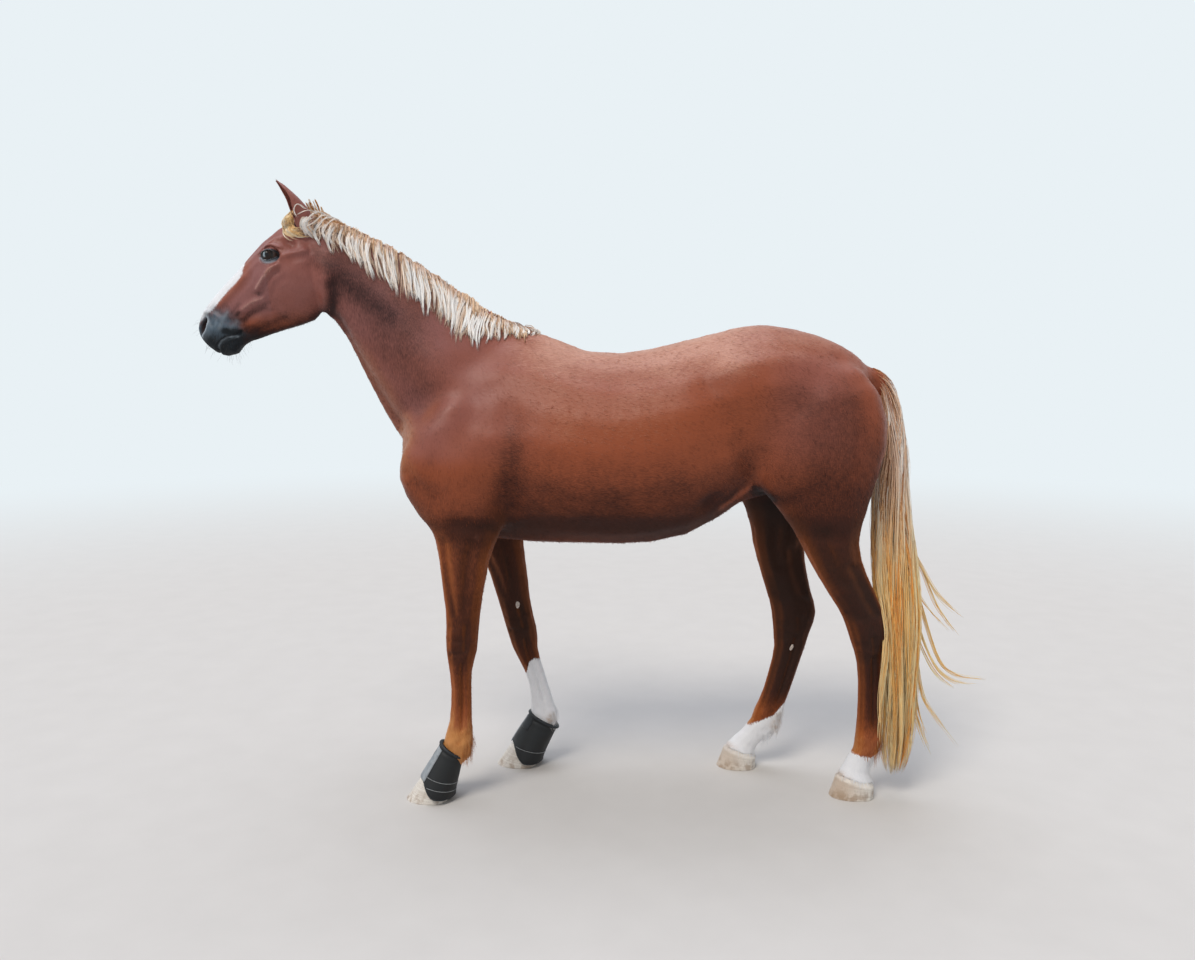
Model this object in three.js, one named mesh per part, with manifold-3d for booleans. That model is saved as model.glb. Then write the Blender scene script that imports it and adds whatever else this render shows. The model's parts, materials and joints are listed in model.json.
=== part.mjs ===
// A standing horse at life size: a chestnut riding horse with a flaxen mane and tail and
// rubber overreach boots on its fore hooves.
// Millimetres, +Z up. The horse faces -X, and its left ("near") side faces -Y.
// While modelling, x = 0 lies under the hollow of the back; the last lines move the origin
// to the middle of the model's box, on the floor.
import * as THREE from "three";
import { mergeVertices } from "three/addons/utils/BufferGeometryUtils.js";
import Module from "manifold-3d";

const wasm = await Module();
wasm.setup();

// ---------------------------------------------------------------- driving dimensions
const GAP = 0.4; // clearance between two touching solids
const COAT_MANE = 17; // depth of the mane where it lies on the neck
const COAT_FORELOCK = 15; // depth of the forelock on the forehead
const NEAR = -1; // sign of y on the left side
const FAR = 1; // sign of y on the right side
const BODY_SIDES = 20; // points round the trunk, neck and head
const LEG_SIDES = 12; // points round a leg
const TAIL_SIDES = 10; // points round the dock and the tail
const ELBOW_CUT = 968; // height where a fore leg parts from the trunk
const STIFLE_CUT = 1085; // height where a hind leg parts from the trunk
const EYE = { x: -1145, y: 68, z: 1940, r: 27 };
const ORBIT = { x: -1132, y: 55, z: 1950, radii: [46, 32, 38] }; // the bony brow round each eye

const COLOURS = {
  chestnut: 0x9a5435,
  flaxen: 0xd9b98c,
  horn: 0xc9b79a,
  rubber: 0x17191a,
  eye: 0x1b120e,
};

// ---------------------------------------------------------------- solids and meshes
function solidOf(geometry) {
  const bare = geometry.clone();
  bare.deleteAttribute("normal");
  bare.deleteAttribute("uv");
  const merged = mergeVertices(bare, 1e-3);
  return new wasm.Manifold(
    new wasm.Mesh({
      numProp: 3,
      vertProperties: merged.attributes.position.array,
      triVerts: new Uint32Array(merged.index.array),
    }),
  );
}

function geometryOf(solid) {
  const mesh = solid.getMesh();
  const geometry = new THREE.BufferGeometry();
  geometry.setAttribute("position", new THREE.BufferAttribute(mesh.vertProperties, 3));
  geometry.setIndex(new THREE.BufferAttribute(mesh.triVerts, 1));
  const flat = geometry.toNonIndexed();
  flat.computeVertexNormals();
  return flat;
}

const joined = (solids) => solids.reduce((all, next) => all.add(next));

// The largest piece of a solid, without the crumbs that a cut can leave.
function largest(solid) {
  return solid.decompose().reduce((a, b) => (a.volume() > b.volume() ? a : b));
}

// ---------------------------------------------------------------- lofting
// Rows of numbers become more rows on a smooth curve through them.
function smoothRows(rows, steps) {
  const at = (i) => rows[Math.min(Math.max(i, 0), rows.length - 1)];
  const out = [];
  for (let i = 0; i < rows.length - 1; i++)
    for (let k = 0; k < steps; k++) {
      const t = k / steps;
      out.push(
        rows[i].map((b, c) => {
          const [a, d, e] = [at(i - 1)[c], at(i + 1)[c], at(i + 2)[c]];
          const bend = (2 * a - 5 * b + 4 * d - e) * t + (3 * (b - d) + e - a) * t * t;
          return b + 0.5 * t * (d - a + bend);
        }),
      );
    }
  out.push(rows.at(-1));
  return out;
}

// Five width factors, at the lower end, low, middle, high and upper end of a ring.
function widthFactor(factors, s) {
  const place = (s + 1) * 2;
  const i = Math.min(Math.floor(place), 3);
  const t = place - i;
  const ease = t * t * (3 - 2 * t);
  return factors[i] + (factors[i + 1] - factors[i]) * (0.5 * t + 0.5 * ease);
}

// A ring lies across one line in the X-Z plane, from its upper (or front) end to its lower
// (or back) end. A row is [x, z of the upper end, x, z of the lower end, half width, y, factors].
function ring([x1, z1, x2, z2, half, y, ...factors], sides, grow) {
  const upper = new THREE.Vector2(x1, z1);
  const lower = new THREE.Vector2(x2, z2);
  const middle = upper.clone().add(lower).multiplyScalar(0.5);
  const reach = upper.clone().sub(middle);
  reach.setLength(reach.length() + grow);
  return Array.from({ length: sides }, (_, k) => {
    const t = (2 * Math.PI * k) / sides;
    const s = Math.sin(t);
    const across = Math.cos(t) * (half * widthFactor(factors, s) + grow);
    return [middle.x + reach.x * s, y + across, middle.y + reach.y * s];
  });
}

// A closed skin over rings, with a fan of triangles on each end.
function skin(rings) {
  const sides = rings[0].length;
  const points = rings.flat();
  const faces = [];
  for (let r = 0; r < rings.length - 1; r++)
    for (let k = 0; k < sides; k++) {
      const [a, b] = [r * sides + k, r * sides + ((k + 1) % sides)];
      faces.push([a, b, a + sides], [b, b + sides, a + sides]);
    }
  for (const [r, flip] of [[0, true], [rings.length - 1, false]]) {
    const centre = rings[r].reduce((c, p) => c.map((v, i) => v + p[i] / sides), [0, 0, 0]);
    const hub = points.push(centre) - 1;
    for (let k = 0; k < sides; k++) {
      const [a, b] = [r * sides + k, r * sides + ((k + 1) % sides)];
      faces.push(flip ? [b, a, hub] : [a, b, hub]);
    }
  }
  const geometry = new THREE.BufferGeometry();
  geometry.setAttribute("position", new THREE.Float32BufferAttribute(points.flat(), 3));
  geometry.setIndex(faces.flat());
  return geometry;
}

function facingOut(geometry) {
  const p = geometry.attributes.position;
  const index = geometry.index.array;
  const [a, b, c] = [0, 1, 2].map(() => new THREE.Vector3());
  let volume = 0;
  for (let i = 0; i < index.length; i += 3) {
    a.fromBufferAttribute(p, index[i]);
    b.fromBufferAttribute(p, index[i + 1]);
    c.fromBufferAttribute(p, index[i + 2]);
    volume += a.dot(b.cross(c));
  }
  if (volume < 0)
    for (let i = 0; i < index.length; i += 3)
      [index[i + 1], index[i + 2]] = [index[i + 2], index[i + 1]];
  return geometry;
}

function loft(rows, { sides = BODY_SIDES, steps = 1, grow = 0 } = {}) {
  const rings = smoothRows(rows, steps).map((row) => ring(row, sides, grow));
  return solidOf(facingOut(skin(rings)));
}

const PLAIN = [1, 1, 1, 1, 1];
const withFactors = (row, factors = PLAIN) => [...row, ...factors];

// ---------------------------------------------------------------- cutting tools
// A prism through the whole horse, or from y = low to high, over an outline in the X-Z plane.
function prism(outline, low = -600, high = 600) {
  const shape = new THREE.Shape(outline.map(([x, z]) => new THREE.Vector2(x, z)));
  const block = new THREE.ExtrudeGeometry(shape, { depth: high - low, bevelEnabled: false });
  block.rotateX(Math.PI / 2);
  block.translate(0, high, 0);
  return solidOf(block);
}

const slab = (low, high) => prism([[-2000, low], [2000, low], [2000, high], [-2000, high]]);

// ---------------------------------------------------------------- trunk, neck and head
// Columns: x, height of the top line, height of the underline, half width, factors.
const TRUNK = [
  [-700, 1310, 1150, 55, [1, 1, 1, 1, 1]],
  [-682, 1415, 1075, 142, [0.9, 1, 1, 1, 0.85]],
  [-640, 1490, 1018, 190, [0.8, 1, 1.02, 0.95, 0.75]],
  [-560, 1570, 968, 212, [0.75, 1, 1.03, 0.92, 0.6]],
  [-460, 1640, 943, 226, [0.8, 1.02, 1, 0.85, 0.5]],
  [-360, 1686, 926, 244, [0.8, 1.03, 1, 0.82, 0.42]],
  [-250, 1690, 916, 264, [0.85, 1.05, 1, 0.8, 0.36]],
  [-140, 1653, 912, 283, [0.9, 1.05, 1, 0.86, 0.55]],
  [-40, 1613, 911, 297, [0.95, 1.05, 1, 0.92, 0.75]],
  [80, 1604, 909, 306, [1, 1.05, 1, 0.96, 0.88]],
  [200, 1622, 916, 308, [1, 1.04, 1, 0.99, 0.94]],
  [320, 1651, 942, 301, [0.95, 1.02, 1, 1.03, 0.95]],
  [430, 1678, 1000, 284, [0.9, 1, 1, 1.07, 0.95]],
  [520, 1700, 1062, 268, [0.9, 0.98, 1, 1.1, 0.92]],
  [600, 1706, 1085, 258, [0.9, 0.96, 1, 1.1, 0.9]],
  [690, 1693, 1095, 246, [0.9, 0.95, 1, 1.08, 0.88]],
  [780, 1671, 1120, 226, [0.9, 0.95, 1, 1.06, 0.86]],
  [860, 1640, 1170, 196, [0.9, 0.95, 1, 1.04, 0.84]],
  [925, 1601, 1240, 150, [0.9, 0.95, 1, 1.02, 0.84]],
  [962, 1566, 1340, 92, [1, 1, 1, 1, 0.9]],
  [974, 1530, 1420, 30, [1, 1, 1, 1, 1]],
].map(([x, top, under, half, factors]) => withFactors([x, top, x, under, half, 0], factors));

// Columns: x, z on the crest, x, z on the throat side, half width, factors.
const NECK = [
  [-1062, 2050, -1010, 1800, 52, [1, 1, 1, 0.9, 0.8]],
  [-1008, 2092, -972, 1742, 66, [0.9, 1.05, 1, 0.82, 0.6]],
  [-892, 2056, -940, 1716, 73, [0.85, 1.08, 1, 0.74, 0.42]],
  [-752, 1990, -902, 1662, 83, [0.8, 1.1, 1, 0.7, 0.36]],
  [-625, 1908, -861, 1578, 99, [0.75, 1.1, 1, 0.7, 0.32]],
  [-508, 1836, -813, 1478, 120, [0.75, 1.1, 1, 0.72, 0.3]],
  [-402, 1762, -766, 1386, 142, [0.75, 1.08, 1, 0.74, 0.3]],
  [-312, 1717, -722, 1306, 158, [0.75, 1.05, 1, 0.76, 0.3]],
  [-250, 1684, -650, 1220, 164, [0.7, 1.02, 1, 0.78, 0.34]],
  [-190, 1655, -550, 1150, 140, [0.7, 1, 1, 0.8, 0.4]],
].map(([a, b, c, d, half, factors]) => withFactors([a, b, c, d, half, 0], factors));

// Columns: x, z on the face, x, z on the jaw, half width, factors.
const HEAD = [
  [-1018, 2070, -962, 1812, 50, [1, 1, 1, 0.9, 0.8]],
  [-1075, 2072, -974, 1762, 74, [0.75, 0.95, 1, 0.9, 0.6]],
  [-1132, 2040, -1012, 1722, 91, [0.6, 0.85, 1, 1, 0.8]],
  [-1186, 1996, -1066, 1701, 99, [0.52, 0.8, 0.98, 1.06, 0.95]],
  [-1231, 1948, -1118, 1686, 94, [0.5, 0.78, 0.96, 1.07, 1]],
  [-1272, 1903, -1166, 1671, 80, [0.52, 0.78, 0.96, 1.04, 1]],
  [-1317, 1859, -1210, 1655, 66, [0.56, 0.8, 0.97, 1.02, 1]],
  [-1357, 1818, -1246, 1644, 58, [0.65, 0.85, 1, 1, 0.95]],
  [-1391, 1780, -1275, 1626, 57, [0.8, 0.95, 1.02, 0.98, 0.9]],
  [-1417, 1742, -1296, 1600, 59, [0.9, 1, 1.02, 0.98, 0.85]],
  [-1429, 1704, -1331, 1592, 55, [0.95, 1, 1, 1, 0.9]],
  [-1423, 1668, -1364, 1605, 39, [1, 1, 1, 1, 1]],
  [-1408, 1643, -1384, 1620, 14, [1, 1, 1, 1, 1]],
].map(([a, b, c, d, half, factors]) => withFactors([a, b, c, d, half, 0], factors));

// ---------------------------------------------------------------- legs
// Columns: x, z of the front, x, z of the back, half width, distance from the middle plane.
// A leg whose front and back are level repeats one height.
const level = (z, front, back, half, y) => [front, z, back, z, half, y];

const SHOULDER = [
  level(1500, -520, -405, 36, 100),
  level(1420, -590, -372, 64, 134),
  level(1330, -652, -342, 85, 150),
  level(1240, -688, -322, 96, 157),
  level(1170, -695, -306, 101, 159),
  level(1100, -668, -300, 97, 159),
];
const FORE_NEAR = [
  ...SHOULDER,
  level(1040, -630, -306, 90, 160),
  level(985, -584, -332, 80, 162),
  level(940, -569, -357, 72, 163),
  level(880, -559, -379, 64, 163),
  level(820, -553, -391, 58, 162),
  level(760, -547, -403, 53, 160),
  level(700, -540, -413, 48, 158),
  level(640, -539, -420, 46, 157),
  level(590, -541, -425, 47, 156),
  level(550, -540, -429, 48, 156),
  level(510, -535, -440, 44, 156),
  level(465, -529, -450, 36, 156),
  level(410, -525, -451, 30, 156),
  level(350, -527, -451, 28, 156),
  level(290, -533, -451, 30, 156),
  level(245, -546, -449, 36, 156),
  level(205, -557, -449, 40, 156),
  [-568, 178, -458, 158, 38, 156],
  [-589, 148, -490, 126, 33, 156],
  [-611, 116, -508, 92, 37, 156],
  [-632, 85, -520, 52, 50, 156],
];
const FORE_FAR = [
  ...SHOULDER,
  level(1040, -620, -290, 90, 160),
  level(985, -570, -288, 80, 162),
  level(940, -530, -282, 72, 163),
  level(880, -474, -284, 64, 163),
  level(820, -440, -278, 58, 162),
  level(760, -417, -271, 53, 160),
  level(700, -399, -265, 48, 158),
  level(640, -381, -257, 46, 157),
  level(590, -367, -247, 47, 156),
  level(550, -356, -237, 48, 156),
  level(510, -344, -233, 44, 156),
  level(470, -332, -233, 37, 156),
  level(425, -310, -224, 31, 156),
  level(380, -288, -210, 29, 156),
  level(330, -270, -196, 29, 156),
  level(290, -264, -183, 31, 156),
  level(245, -261, -170, 36, 156),
  level(208, -263, -158, 40, 156),
  [-270, 182, -163, 160, 38, 156],
  [-291, 150, -192, 127, 33, 156],
  [-312, 117, -209, 93, 37, 156],
  [-333, 85, -221, 52, 50, 156],
];
const HAUNCH = [
  level(1590, 660, 850, 40, 95),
  level(1535, 612, 930, 78, 132),
  level(1460, 575, 980, 104, 152),
];
const HIND_NEAR = [
  ...HAUNCH,
  level(1370, 552, 1006, 116, 161),
  level(1290, 530, 1010, 121, 161),
  level(1205, 522, 989, 121, 160),
  level(1130, 566, 966, 114, 160),
  level(1060, 630, 946, 103, 162),
  level(1000, 675, 927, 91, 165),
  level(940, 711, 919, 79, 167),
  level(880, 742, 930, 69, 167),
  level(820, 777, 954, 60, 163),
  level(760, 815, 984, 53, 158),
  level(700, 855, 1012, 47, 152),
  level(655, 878, 1026, 46, 148),
  level(615, 893, 1034, 47, 145),
  level(580, 905, 1030, 46, 143),
  level(540, 920, 1020, 41, 141),
  level(495, 931, 1016, 35, 139),
  level(430, 938, 1018, 31, 137),
  level(360, 940, 1020, 30, 135),
  level(290, 939, 1023, 31, 134),
  level(243, 936, 1029, 36, 134),
  level(205, 933, 1031, 40, 134),
  [929, 176, 1019, 158, 38, 134],
  [907, 140, 992, 122, 34, 134],
  [891, 110, 992, 86, 38, 134],
  [876, 83, 1003, 48, 51, 134],
];
const HIND_FAR = [
  ...HAUNCH,
  level(1370, 545, 999, 116, 161),
  level(1290, 516, 992, 121, 161),
  level(1205, 492, 962, 121, 160),
  level(1130, 506, 926, 114, 160),
  level(1060, 545, 886, 103, 161),
  level(1000, 571, 850, 91, 163),
  level(940, 589, 818, 79, 164),
  level(880, 599, 799, 69, 162),
  level(820, 614, 801, 60, 158),
  level(760, 632, 811, 53, 153),
  level(700, 650, 824, 47, 148),
  level(655, 664, 838, 46, 145),
  level(615, 672, 845, 47, 142),
  level(575, 677, 838, 46, 140),
  level(530, 681, 821, 41, 138),
  level(480, 684, 806, 36, 136),
  level(430, 677, 790, 32, 135),
  level(370, 662, 771, 31, 134),
  level(310, 646, 752, 32, 134),
  level(265, 629, 736, 36, 134),
  level(228, 612, 727, 40, 134),
  [600, 190, 707, 150, 38, 134],
  [568, 147, 662, 118, 34, 134],
  [529, 110, 625, 80, 38, 134],
  [502, 83, 616, 48, 51, 134],
];

const lateral = (rows, side) =>
  rows.map(([a, b, c, d, half, y]) => withFactors([a, b, c, d, half, side * y]));

// A hoof: its coronet under the leg's last ring, its ground face flat on the floor.
// The heel end is squarer than the toe.
const HOOF_FACTORS = [1.5, 1.12, 1, 0.97, 0.95];
function hoofRows(legRows, toe, heel, half, side) {
  const [x1, z1, x2, z2, top, y] = legRows.at(-1);
  const flare = 3;
  const lower = (x, z, k) => [x + k * 0.02, z - 2 * GAP - k * 0.5];
  const [fx, fz] = lower(x1 - flare, z1, 0);
  const [bx, bz] = lower(x2 + flare, z2, 0);
  return [
    withFactors([fx, fz, bx, bz, top + flare, side * y], HOOF_FACTORS),
    withFactors([toe, 0, heel, 0, half, side * y], HOOF_FACTORS),
  ];
}

const LEGS = [
  { name: "fore_leg_near", side: NEAR, rows: FORE_NEAR, cut: ELBOW_CUT, hoof: [-693, -538, 64] },
  { name: "fore_leg_far", side: FAR, rows: FORE_FAR, cut: ELBOW_CUT, hoof: [-395, -240, 64] },
  { name: "hind_leg_near", side: NEAR, rows: HIND_NEAR, cut: STIFLE_CUT, hoof: [846, 1006, 61] },
  { name: "hind_leg_far", side: FAR, rows: HIND_FAR, cut: STIFLE_CUT, hoof: [468, 620, 61] },
].map((leg) => {
  const rows = lateral(leg.rows, leg.side);
  const hoof = hoofRows(leg.rows, ...leg.hoof, leg.side);
  return { ...leg, rows, hoofRows: hoof };
});

const legLoft = (leg, grow = 0) => loft(leg.rows, { sides: LEG_SIDES, grow });
const hoofLoft = (leg, grow = 0) => loft(leg.hoofRows, { sides: 16, grow });

// ---------------------------------------------------------------- flesh and its cuts
const trunkLoft = loft(TRUNK);
const neckLoft = loft(NECK);
const headLoft = loft(HEAD);
const upperLegs = LEGS.map((leg) => legLoft(leg).intersect(slab(leg.cut + GAP, 2500)));
const lowerLegs = LEGS.map((leg) => legLoft(leg).intersect(slab(-100, leg.cut)));
const grownLegs = LEGS.map((leg) => legLoft(leg, GAP).intersect(slab(-100, leg.cut + GAP)));

const sockets = [NEAR, FAR].map((side) =>
  solidOf(
    new THREE.SphereGeometry(EYE.r + GAP, 10, 8).translate(EYE.x, side * EYE.y, EYE.z),
  ),
);

// The brow stands out from the side of the head and carries the lids.
const orbits = [NEAR, FAR].map((side) => {
  const brow = new THREE.SphereGeometry(1, 8, 6).scale(...ORBIT.radii);
  return solidOf(brow.translate(ORBIT.x, side * ORBIT.y, ORBIT.z));
});

// The planes that part head from neck and neck from trunk, as wide prisms on each side.
const HEAD_CUT = [[-1012, 2300], [-960, 1000]];
const NECK_CUT = [[-205, 1900], [-790, 1190]];
const beyond = ([[x1, z1], [x2, z2]], shift, far) =>
  prism([[x1 + shift, z1], [x1 + far, z1], [x2 + far, z2], [x2 + shift, z2]]);

const headSide = beyond(HEAD_CUT, -GAP, -900);
const neckBehindHead = beyond(HEAD_CUT, 0, 1500);
const neckFront = prism([
  [NECK_CUT[0][0], NECK_CUT[0][1]],
  [NECK_CUT[1][0], NECK_CUT[1][1]],
  [-1600, 1190],
  [-1600, 2400],
  [-205, 2400],
]);
const trunkBack = prism([
  [NECK_CUT[0][0] + GAP, NECK_CUT[0][1]],
  [NECK_CUT[1][0] + GAP, NECK_CUT[1][1]],
  [NECK_CUT[1][0] + GAP, 500],
  [1500, 500],
  [1500, 1900],
]);

const flesh = joined([trunkLoft, neckLoft, headLoft, ...orbits, ...upperLegs]);
const carved = (solid, cutters) => cutters.reduce((left, cutter) => left.subtract(cutter), solid);

const head = largest(carved(flesh.intersect(headSide), sockets));
const neck = largest(flesh.intersect(neckFront).intersect(neckBehindHead));
const trunk = largest(carved(flesh.intersect(trunkBack), grownLegs));

// ---------------------------------------------------------------- ears and eyes
// The ear is a cupped leaf: an outer cone less an inner one set forward of it.
const EAR = [
  [-1046, 2004, -990, 2034, 19, 47],
  [-1058, 2060, -996, 2086, 25, 54],
  [-1071, 2092, -1010, 2116, 27, 56],
  [-1084, 2120, -1030, 2138, 26, 58],
  [-1097, 2148, -1058, 2160, 21, 59],
  [-1109, 2173, -1084, 2181, 14, 60],
  [-1119, 2196, -1110, 2199, 3, 60],
];
const EAR_WALL = 5;
function ear(side) {
  const outer = loft(lateral(EAR, side), { sides: 8 });
  const opening = EAR.slice(1, 6).map(([a, b, c, d, half, y]) => {
    const out = side * (y + 6);
    return withFactors([a - 14, b - 4, c - 16, d - 6, half - EAR_WALL, out]);
  });
  return largest(outer.subtract(loft(opening, { sides: 8 })).subtract(flesh));
}

const eyeball = (side) =>
  solidOf(new THREE.SphereGeometry(EYE.r, 10, 8).translate(EYE.x, side * EYE.y, EYE.z));

// ---------------------------------------------------------------- mane, forelock and tail
// Hair that lies on the body: the body's own loft, grown by the hair's depth, within an
// outline, less the body.
function hairOver(rows, depth, outline, low, high) {
  return loft(rows, { grow: depth }).intersect(prism(outline, low, high));
}

const MANE_OUTLINE = [
  [-1060, 2150], [-300, 2150], [-228, 1712], [-238, 1676], [-300, 1652], [-398, 1618], [-500, 1672],
  [-620, 1748], [-758, 1836], [-877, 1920], [-968, 1986], [-1010, 2040], [-1040, 2085],
];
const FORELOCK_OUTLINE = [
  [-1128, 2120], [-1068, 2125], [-1040, 2062], [-1014, 2014], [-1034, 1992], [-1082, 1996],
  [-1112, 2018], [-1132, 2062],
];

const DOCK = [
  [935, 1560, 925, 1490, 38, 0],
  [985, 1556, 968, 1488, 36, 0],
  [1035, 1530, 1003, 1470, 33, 0],
  [1066, 1482, 1020, 1442, 30, 0],
  [1084, 1410, 1034, 1400, 27, -2],
  [1092, 1330, 1046, 1328, 23, -4],
  [1094, 1260, 1058, 1260, 17, -6],
  [1086, 1225, 1070, 1225, 7, -6],
].map((row) => withFactors(row));

const TAIL = [
  [990, 1564, 985, 1500, 40, 0],
  [1032, 1550, 1000, 1462, 44, 0],
  [1072, 1510, 1008, 1430, 46, -2],
  [1098, 1440, 1014, 1372, 48, -6],
  [1112, 1341, 1014, 1311, 50, -14],
  [1120, 1222, 1012, 1212, 54, -26],
  [1128, 1086, 1000, 1086, 60, -42],
  [1144, 941, 996, 941, 64, -62],
  [1160, 789, 1002, 789, 70, -84],
  [1162, 648, 1014, 648, 78, -104],
  [1155, 486, 1022, 486, 74, -116],
  [1149, 325, 1026, 325, 64, -122],
  [1141, 181, 1032, 181, 52, -126],
  [1116, 78, 1050, 78, 32, -128],
].map((row) => withFactors(row));

// Loose locks that drift back from the tail. Columns: x, z of the middle line.
const WISPS = [
  { y: -70, line: [[1110, 960], [1181, 826], [1229, 743], [1277, 689], [1334, 638]], r: 9 },
  { y: -54, line: [[1120, 920], [1181, 826], [1231, 707], [1270, 642], [1323, 567]], r: 9 },
  { y: -90, line: [[1110, 850], [1167, 707], [1240, 502], [1306, 436], [1431, 415]], r: 13 },
  { y: -112, line: [[1120, 660], [1152, 530], [1180, 380], [1220, 303], [1322, 170]], r: 10 },
  { y: -100, line: [[1120, 480], [1149, 360], [1181, 237], [1242, 107]], r: 9 },
];
function wisp({ y, line, r }) {
  const last = line.length - 1;
  const rows = line.map(([x, z], i) => {
    const half = r * (1 - 0.8 * (i / last));
    return withFactors([x + half, z + half * 0.7, x - half, z - half * 0.7, half, y]);
  });
  return loft(rows, { sides: 6 });
}

const dockLoft = loft(DOCK, { sides: TAIL_SIDES });
const dock = largest(dockLoft.subtract(loft(TRUNK, { grow: GAP })).subtract(
  joined(LEGS.map((leg) => legLoft(leg, GAP))),
));
const bodyGrown = joined([
  loft(TRUNK, { grow: GAP }),
  loft(NECK, { grow: GAP }),
  loft(HEAD, { grow: GAP }),
  ...LEGS.map((leg) => legLoft(leg, GAP)),
]);

const ears = { near: ear(NEAR), far: ear(FAR) };
const earRoom = (side) => loft(lateral(EAR, side), { sides: 8, grow: 1 });

const mane = largest(
  carved(hairOver(NECK, COAT_MANE, MANE_OUTLINE, -400, 26), [
    bodyGrown,
    earRoom(NEAR),
    earRoom(FAR),
  ]),
);
const forelock = largest(
  carved(hairOver(HEAD, COAT_FORELOCK, FORELOCK_OUTLINE, -300, 24), [
    bodyGrown,
    earRoom(NEAR),
    earRoom(FAR),
    mane.translate([-GAP, 0, 0]),
    mane,
  ]),
);
const tail = largest(
  joined([loft(TAIL, { sides: TAIL_SIDES }), ...WISPS.map(wisp)])
    .subtract(bodyGrown)
    .subtract(loft(DOCK, { sides: TAIL_SIDES, grow: GAP })),
);

// ---------------------------------------------------------------- overreach boots
// A bell of rubber round the pastern and the hoof, its rim high over the toe and low behind.
const BOOT = [
  [-563, 210, -485, 157, 40, 156],
  [-578, 182, -489, 140, 46, 156],
  [-606, 140, -497, 100, 58, 156],
  [-641, 84, -509, 48, 72, 156],
  [-672, 40, -516, 10, 80, 156],
];
const BOOT_RIM = [
  [-700, 260], [-700, 118], [-629, 92], [-608, 46], [-584, 18], [-400, 12], [-400, 260],
];
const BOOT_FAR_SHIFT = 299; // the far fore hoof stands this much further back
function boot(leg, shift) {
  const rows = BOOT.map(([a, b, c, d, half, y]) =>
    withFactors([a + shift, b, c + shift, d, half, leg.side * y], [1.15, 1.05, 1, 1, 1]),
  );
  const rim = prism(BOOT_RIM.map(([x, z]) => [x + shift, z]));
  const bell = loft(rows, { sides: 12 }).intersect(rim);
  const hoof = hoofLoft(leg, GAP);
  return largest(carved(bell, [legLoft(leg, GAP), hoof, hoof.translate([0, 0, GAP])]));
}

// ---------------------------------------------------------------- the model
const MATERIALS = Object.fromEntries(
  Object.entries(COLOURS).map(([name, color]) => [
    name,
    new THREE.MeshStandardMaterial({
      name,
      color,
      roughness: name === "eye" ? 0.1 : 0.6,
      metalness: 0,
    }),
  ]),
);

const horse = new THREE.Group();
function place(name, solid, material) {
  const mesh = new THREE.Mesh(geometryOf(solid), MATERIALS[material]);
  mesh.name = name;
  horse.add(mesh);
}

place("head", head, "chestnut");
place("neck", neck, "chestnut");
place("trunk", trunk, "chestnut");
place("dock", dock, "chestnut");
place("ear_near", ears.near, "chestnut");
place("ear_far", ears.far, "chestnut");
place("eye_near", eyeball(NEAR), "eye");
place("eye_far", eyeball(FAR), "eye");
place("mane", mane, "flaxen");
place("forelock", forelock, "flaxen");
place("tail", tail, "flaxen");
LEGS.forEach((leg, i) => {
  place(leg.name, largest(lowerLegs[i]), "chestnut");
  const hoof = hoofLoft(leg).subtract(legLoft(leg, GAP));
  place(leg.name.replace("leg", "hoof"), largest(hoof), "horn");
});
place("boot_near", boot(LEGS[0], 0), "rubber");
place("boot_far", boot(LEGS[1], BOOT_FAR_SHIFT), "rubber");

const box = new THREE.Box3().setFromObject(horse);
const centre = box.getCenter(new THREE.Vector3());
horse.position.set(-centre.x, -centre.y, -box.min.z);

export default horse;
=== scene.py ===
import json
import math

import bpy
import numpy as np
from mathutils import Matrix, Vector
from mathutils.bvhtree import BVHTree

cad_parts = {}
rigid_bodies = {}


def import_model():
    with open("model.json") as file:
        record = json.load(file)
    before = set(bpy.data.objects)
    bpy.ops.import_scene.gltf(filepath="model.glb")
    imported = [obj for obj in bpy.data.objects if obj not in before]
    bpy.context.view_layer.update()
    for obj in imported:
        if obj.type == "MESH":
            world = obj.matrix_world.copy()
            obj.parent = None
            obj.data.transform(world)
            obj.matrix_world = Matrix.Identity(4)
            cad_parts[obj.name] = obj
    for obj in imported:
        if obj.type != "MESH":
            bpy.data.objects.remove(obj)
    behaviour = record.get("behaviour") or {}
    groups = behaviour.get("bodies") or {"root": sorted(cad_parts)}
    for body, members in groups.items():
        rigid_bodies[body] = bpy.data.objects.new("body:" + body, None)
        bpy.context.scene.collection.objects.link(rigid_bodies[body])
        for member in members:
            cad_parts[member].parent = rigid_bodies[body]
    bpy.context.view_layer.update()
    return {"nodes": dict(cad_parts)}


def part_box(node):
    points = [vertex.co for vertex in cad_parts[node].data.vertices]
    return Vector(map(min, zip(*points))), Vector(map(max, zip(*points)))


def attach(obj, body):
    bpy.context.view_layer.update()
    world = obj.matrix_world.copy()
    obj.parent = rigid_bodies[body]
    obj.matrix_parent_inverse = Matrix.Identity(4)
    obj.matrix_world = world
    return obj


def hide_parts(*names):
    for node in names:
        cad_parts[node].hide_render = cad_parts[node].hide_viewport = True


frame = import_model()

# A chestnut riding horse with a flaxen mane and tail, at life size, standing.
# Shapes are written in millimetres in the horse's own coordinates: x runs from the head to
# the tail, with 0 under the hollow of the back, y from its left (near) side to its right,
# and z up from the floor. world() turns them into metres in the frame.
NODES = frame["nodes"]
SCENE = bpy.context.scene
TOE_TO_ORIGIN = 0.693  # from the near fore hoof's front to x = 0, in metres
ORIGIN = np.array([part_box("fore_hoof_near")[0].x + TOE_TO_ORIGIN, 0.0, 0.0])
NEAR, FAR = -1, 1
draw = np.random.default_rng(20)


def world(points):
    return np.asarray(points, float) * 0.001 + ORIGIN


def table(points):
    return (np.asarray(points, float) - ORIGIN) * 1000


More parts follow.
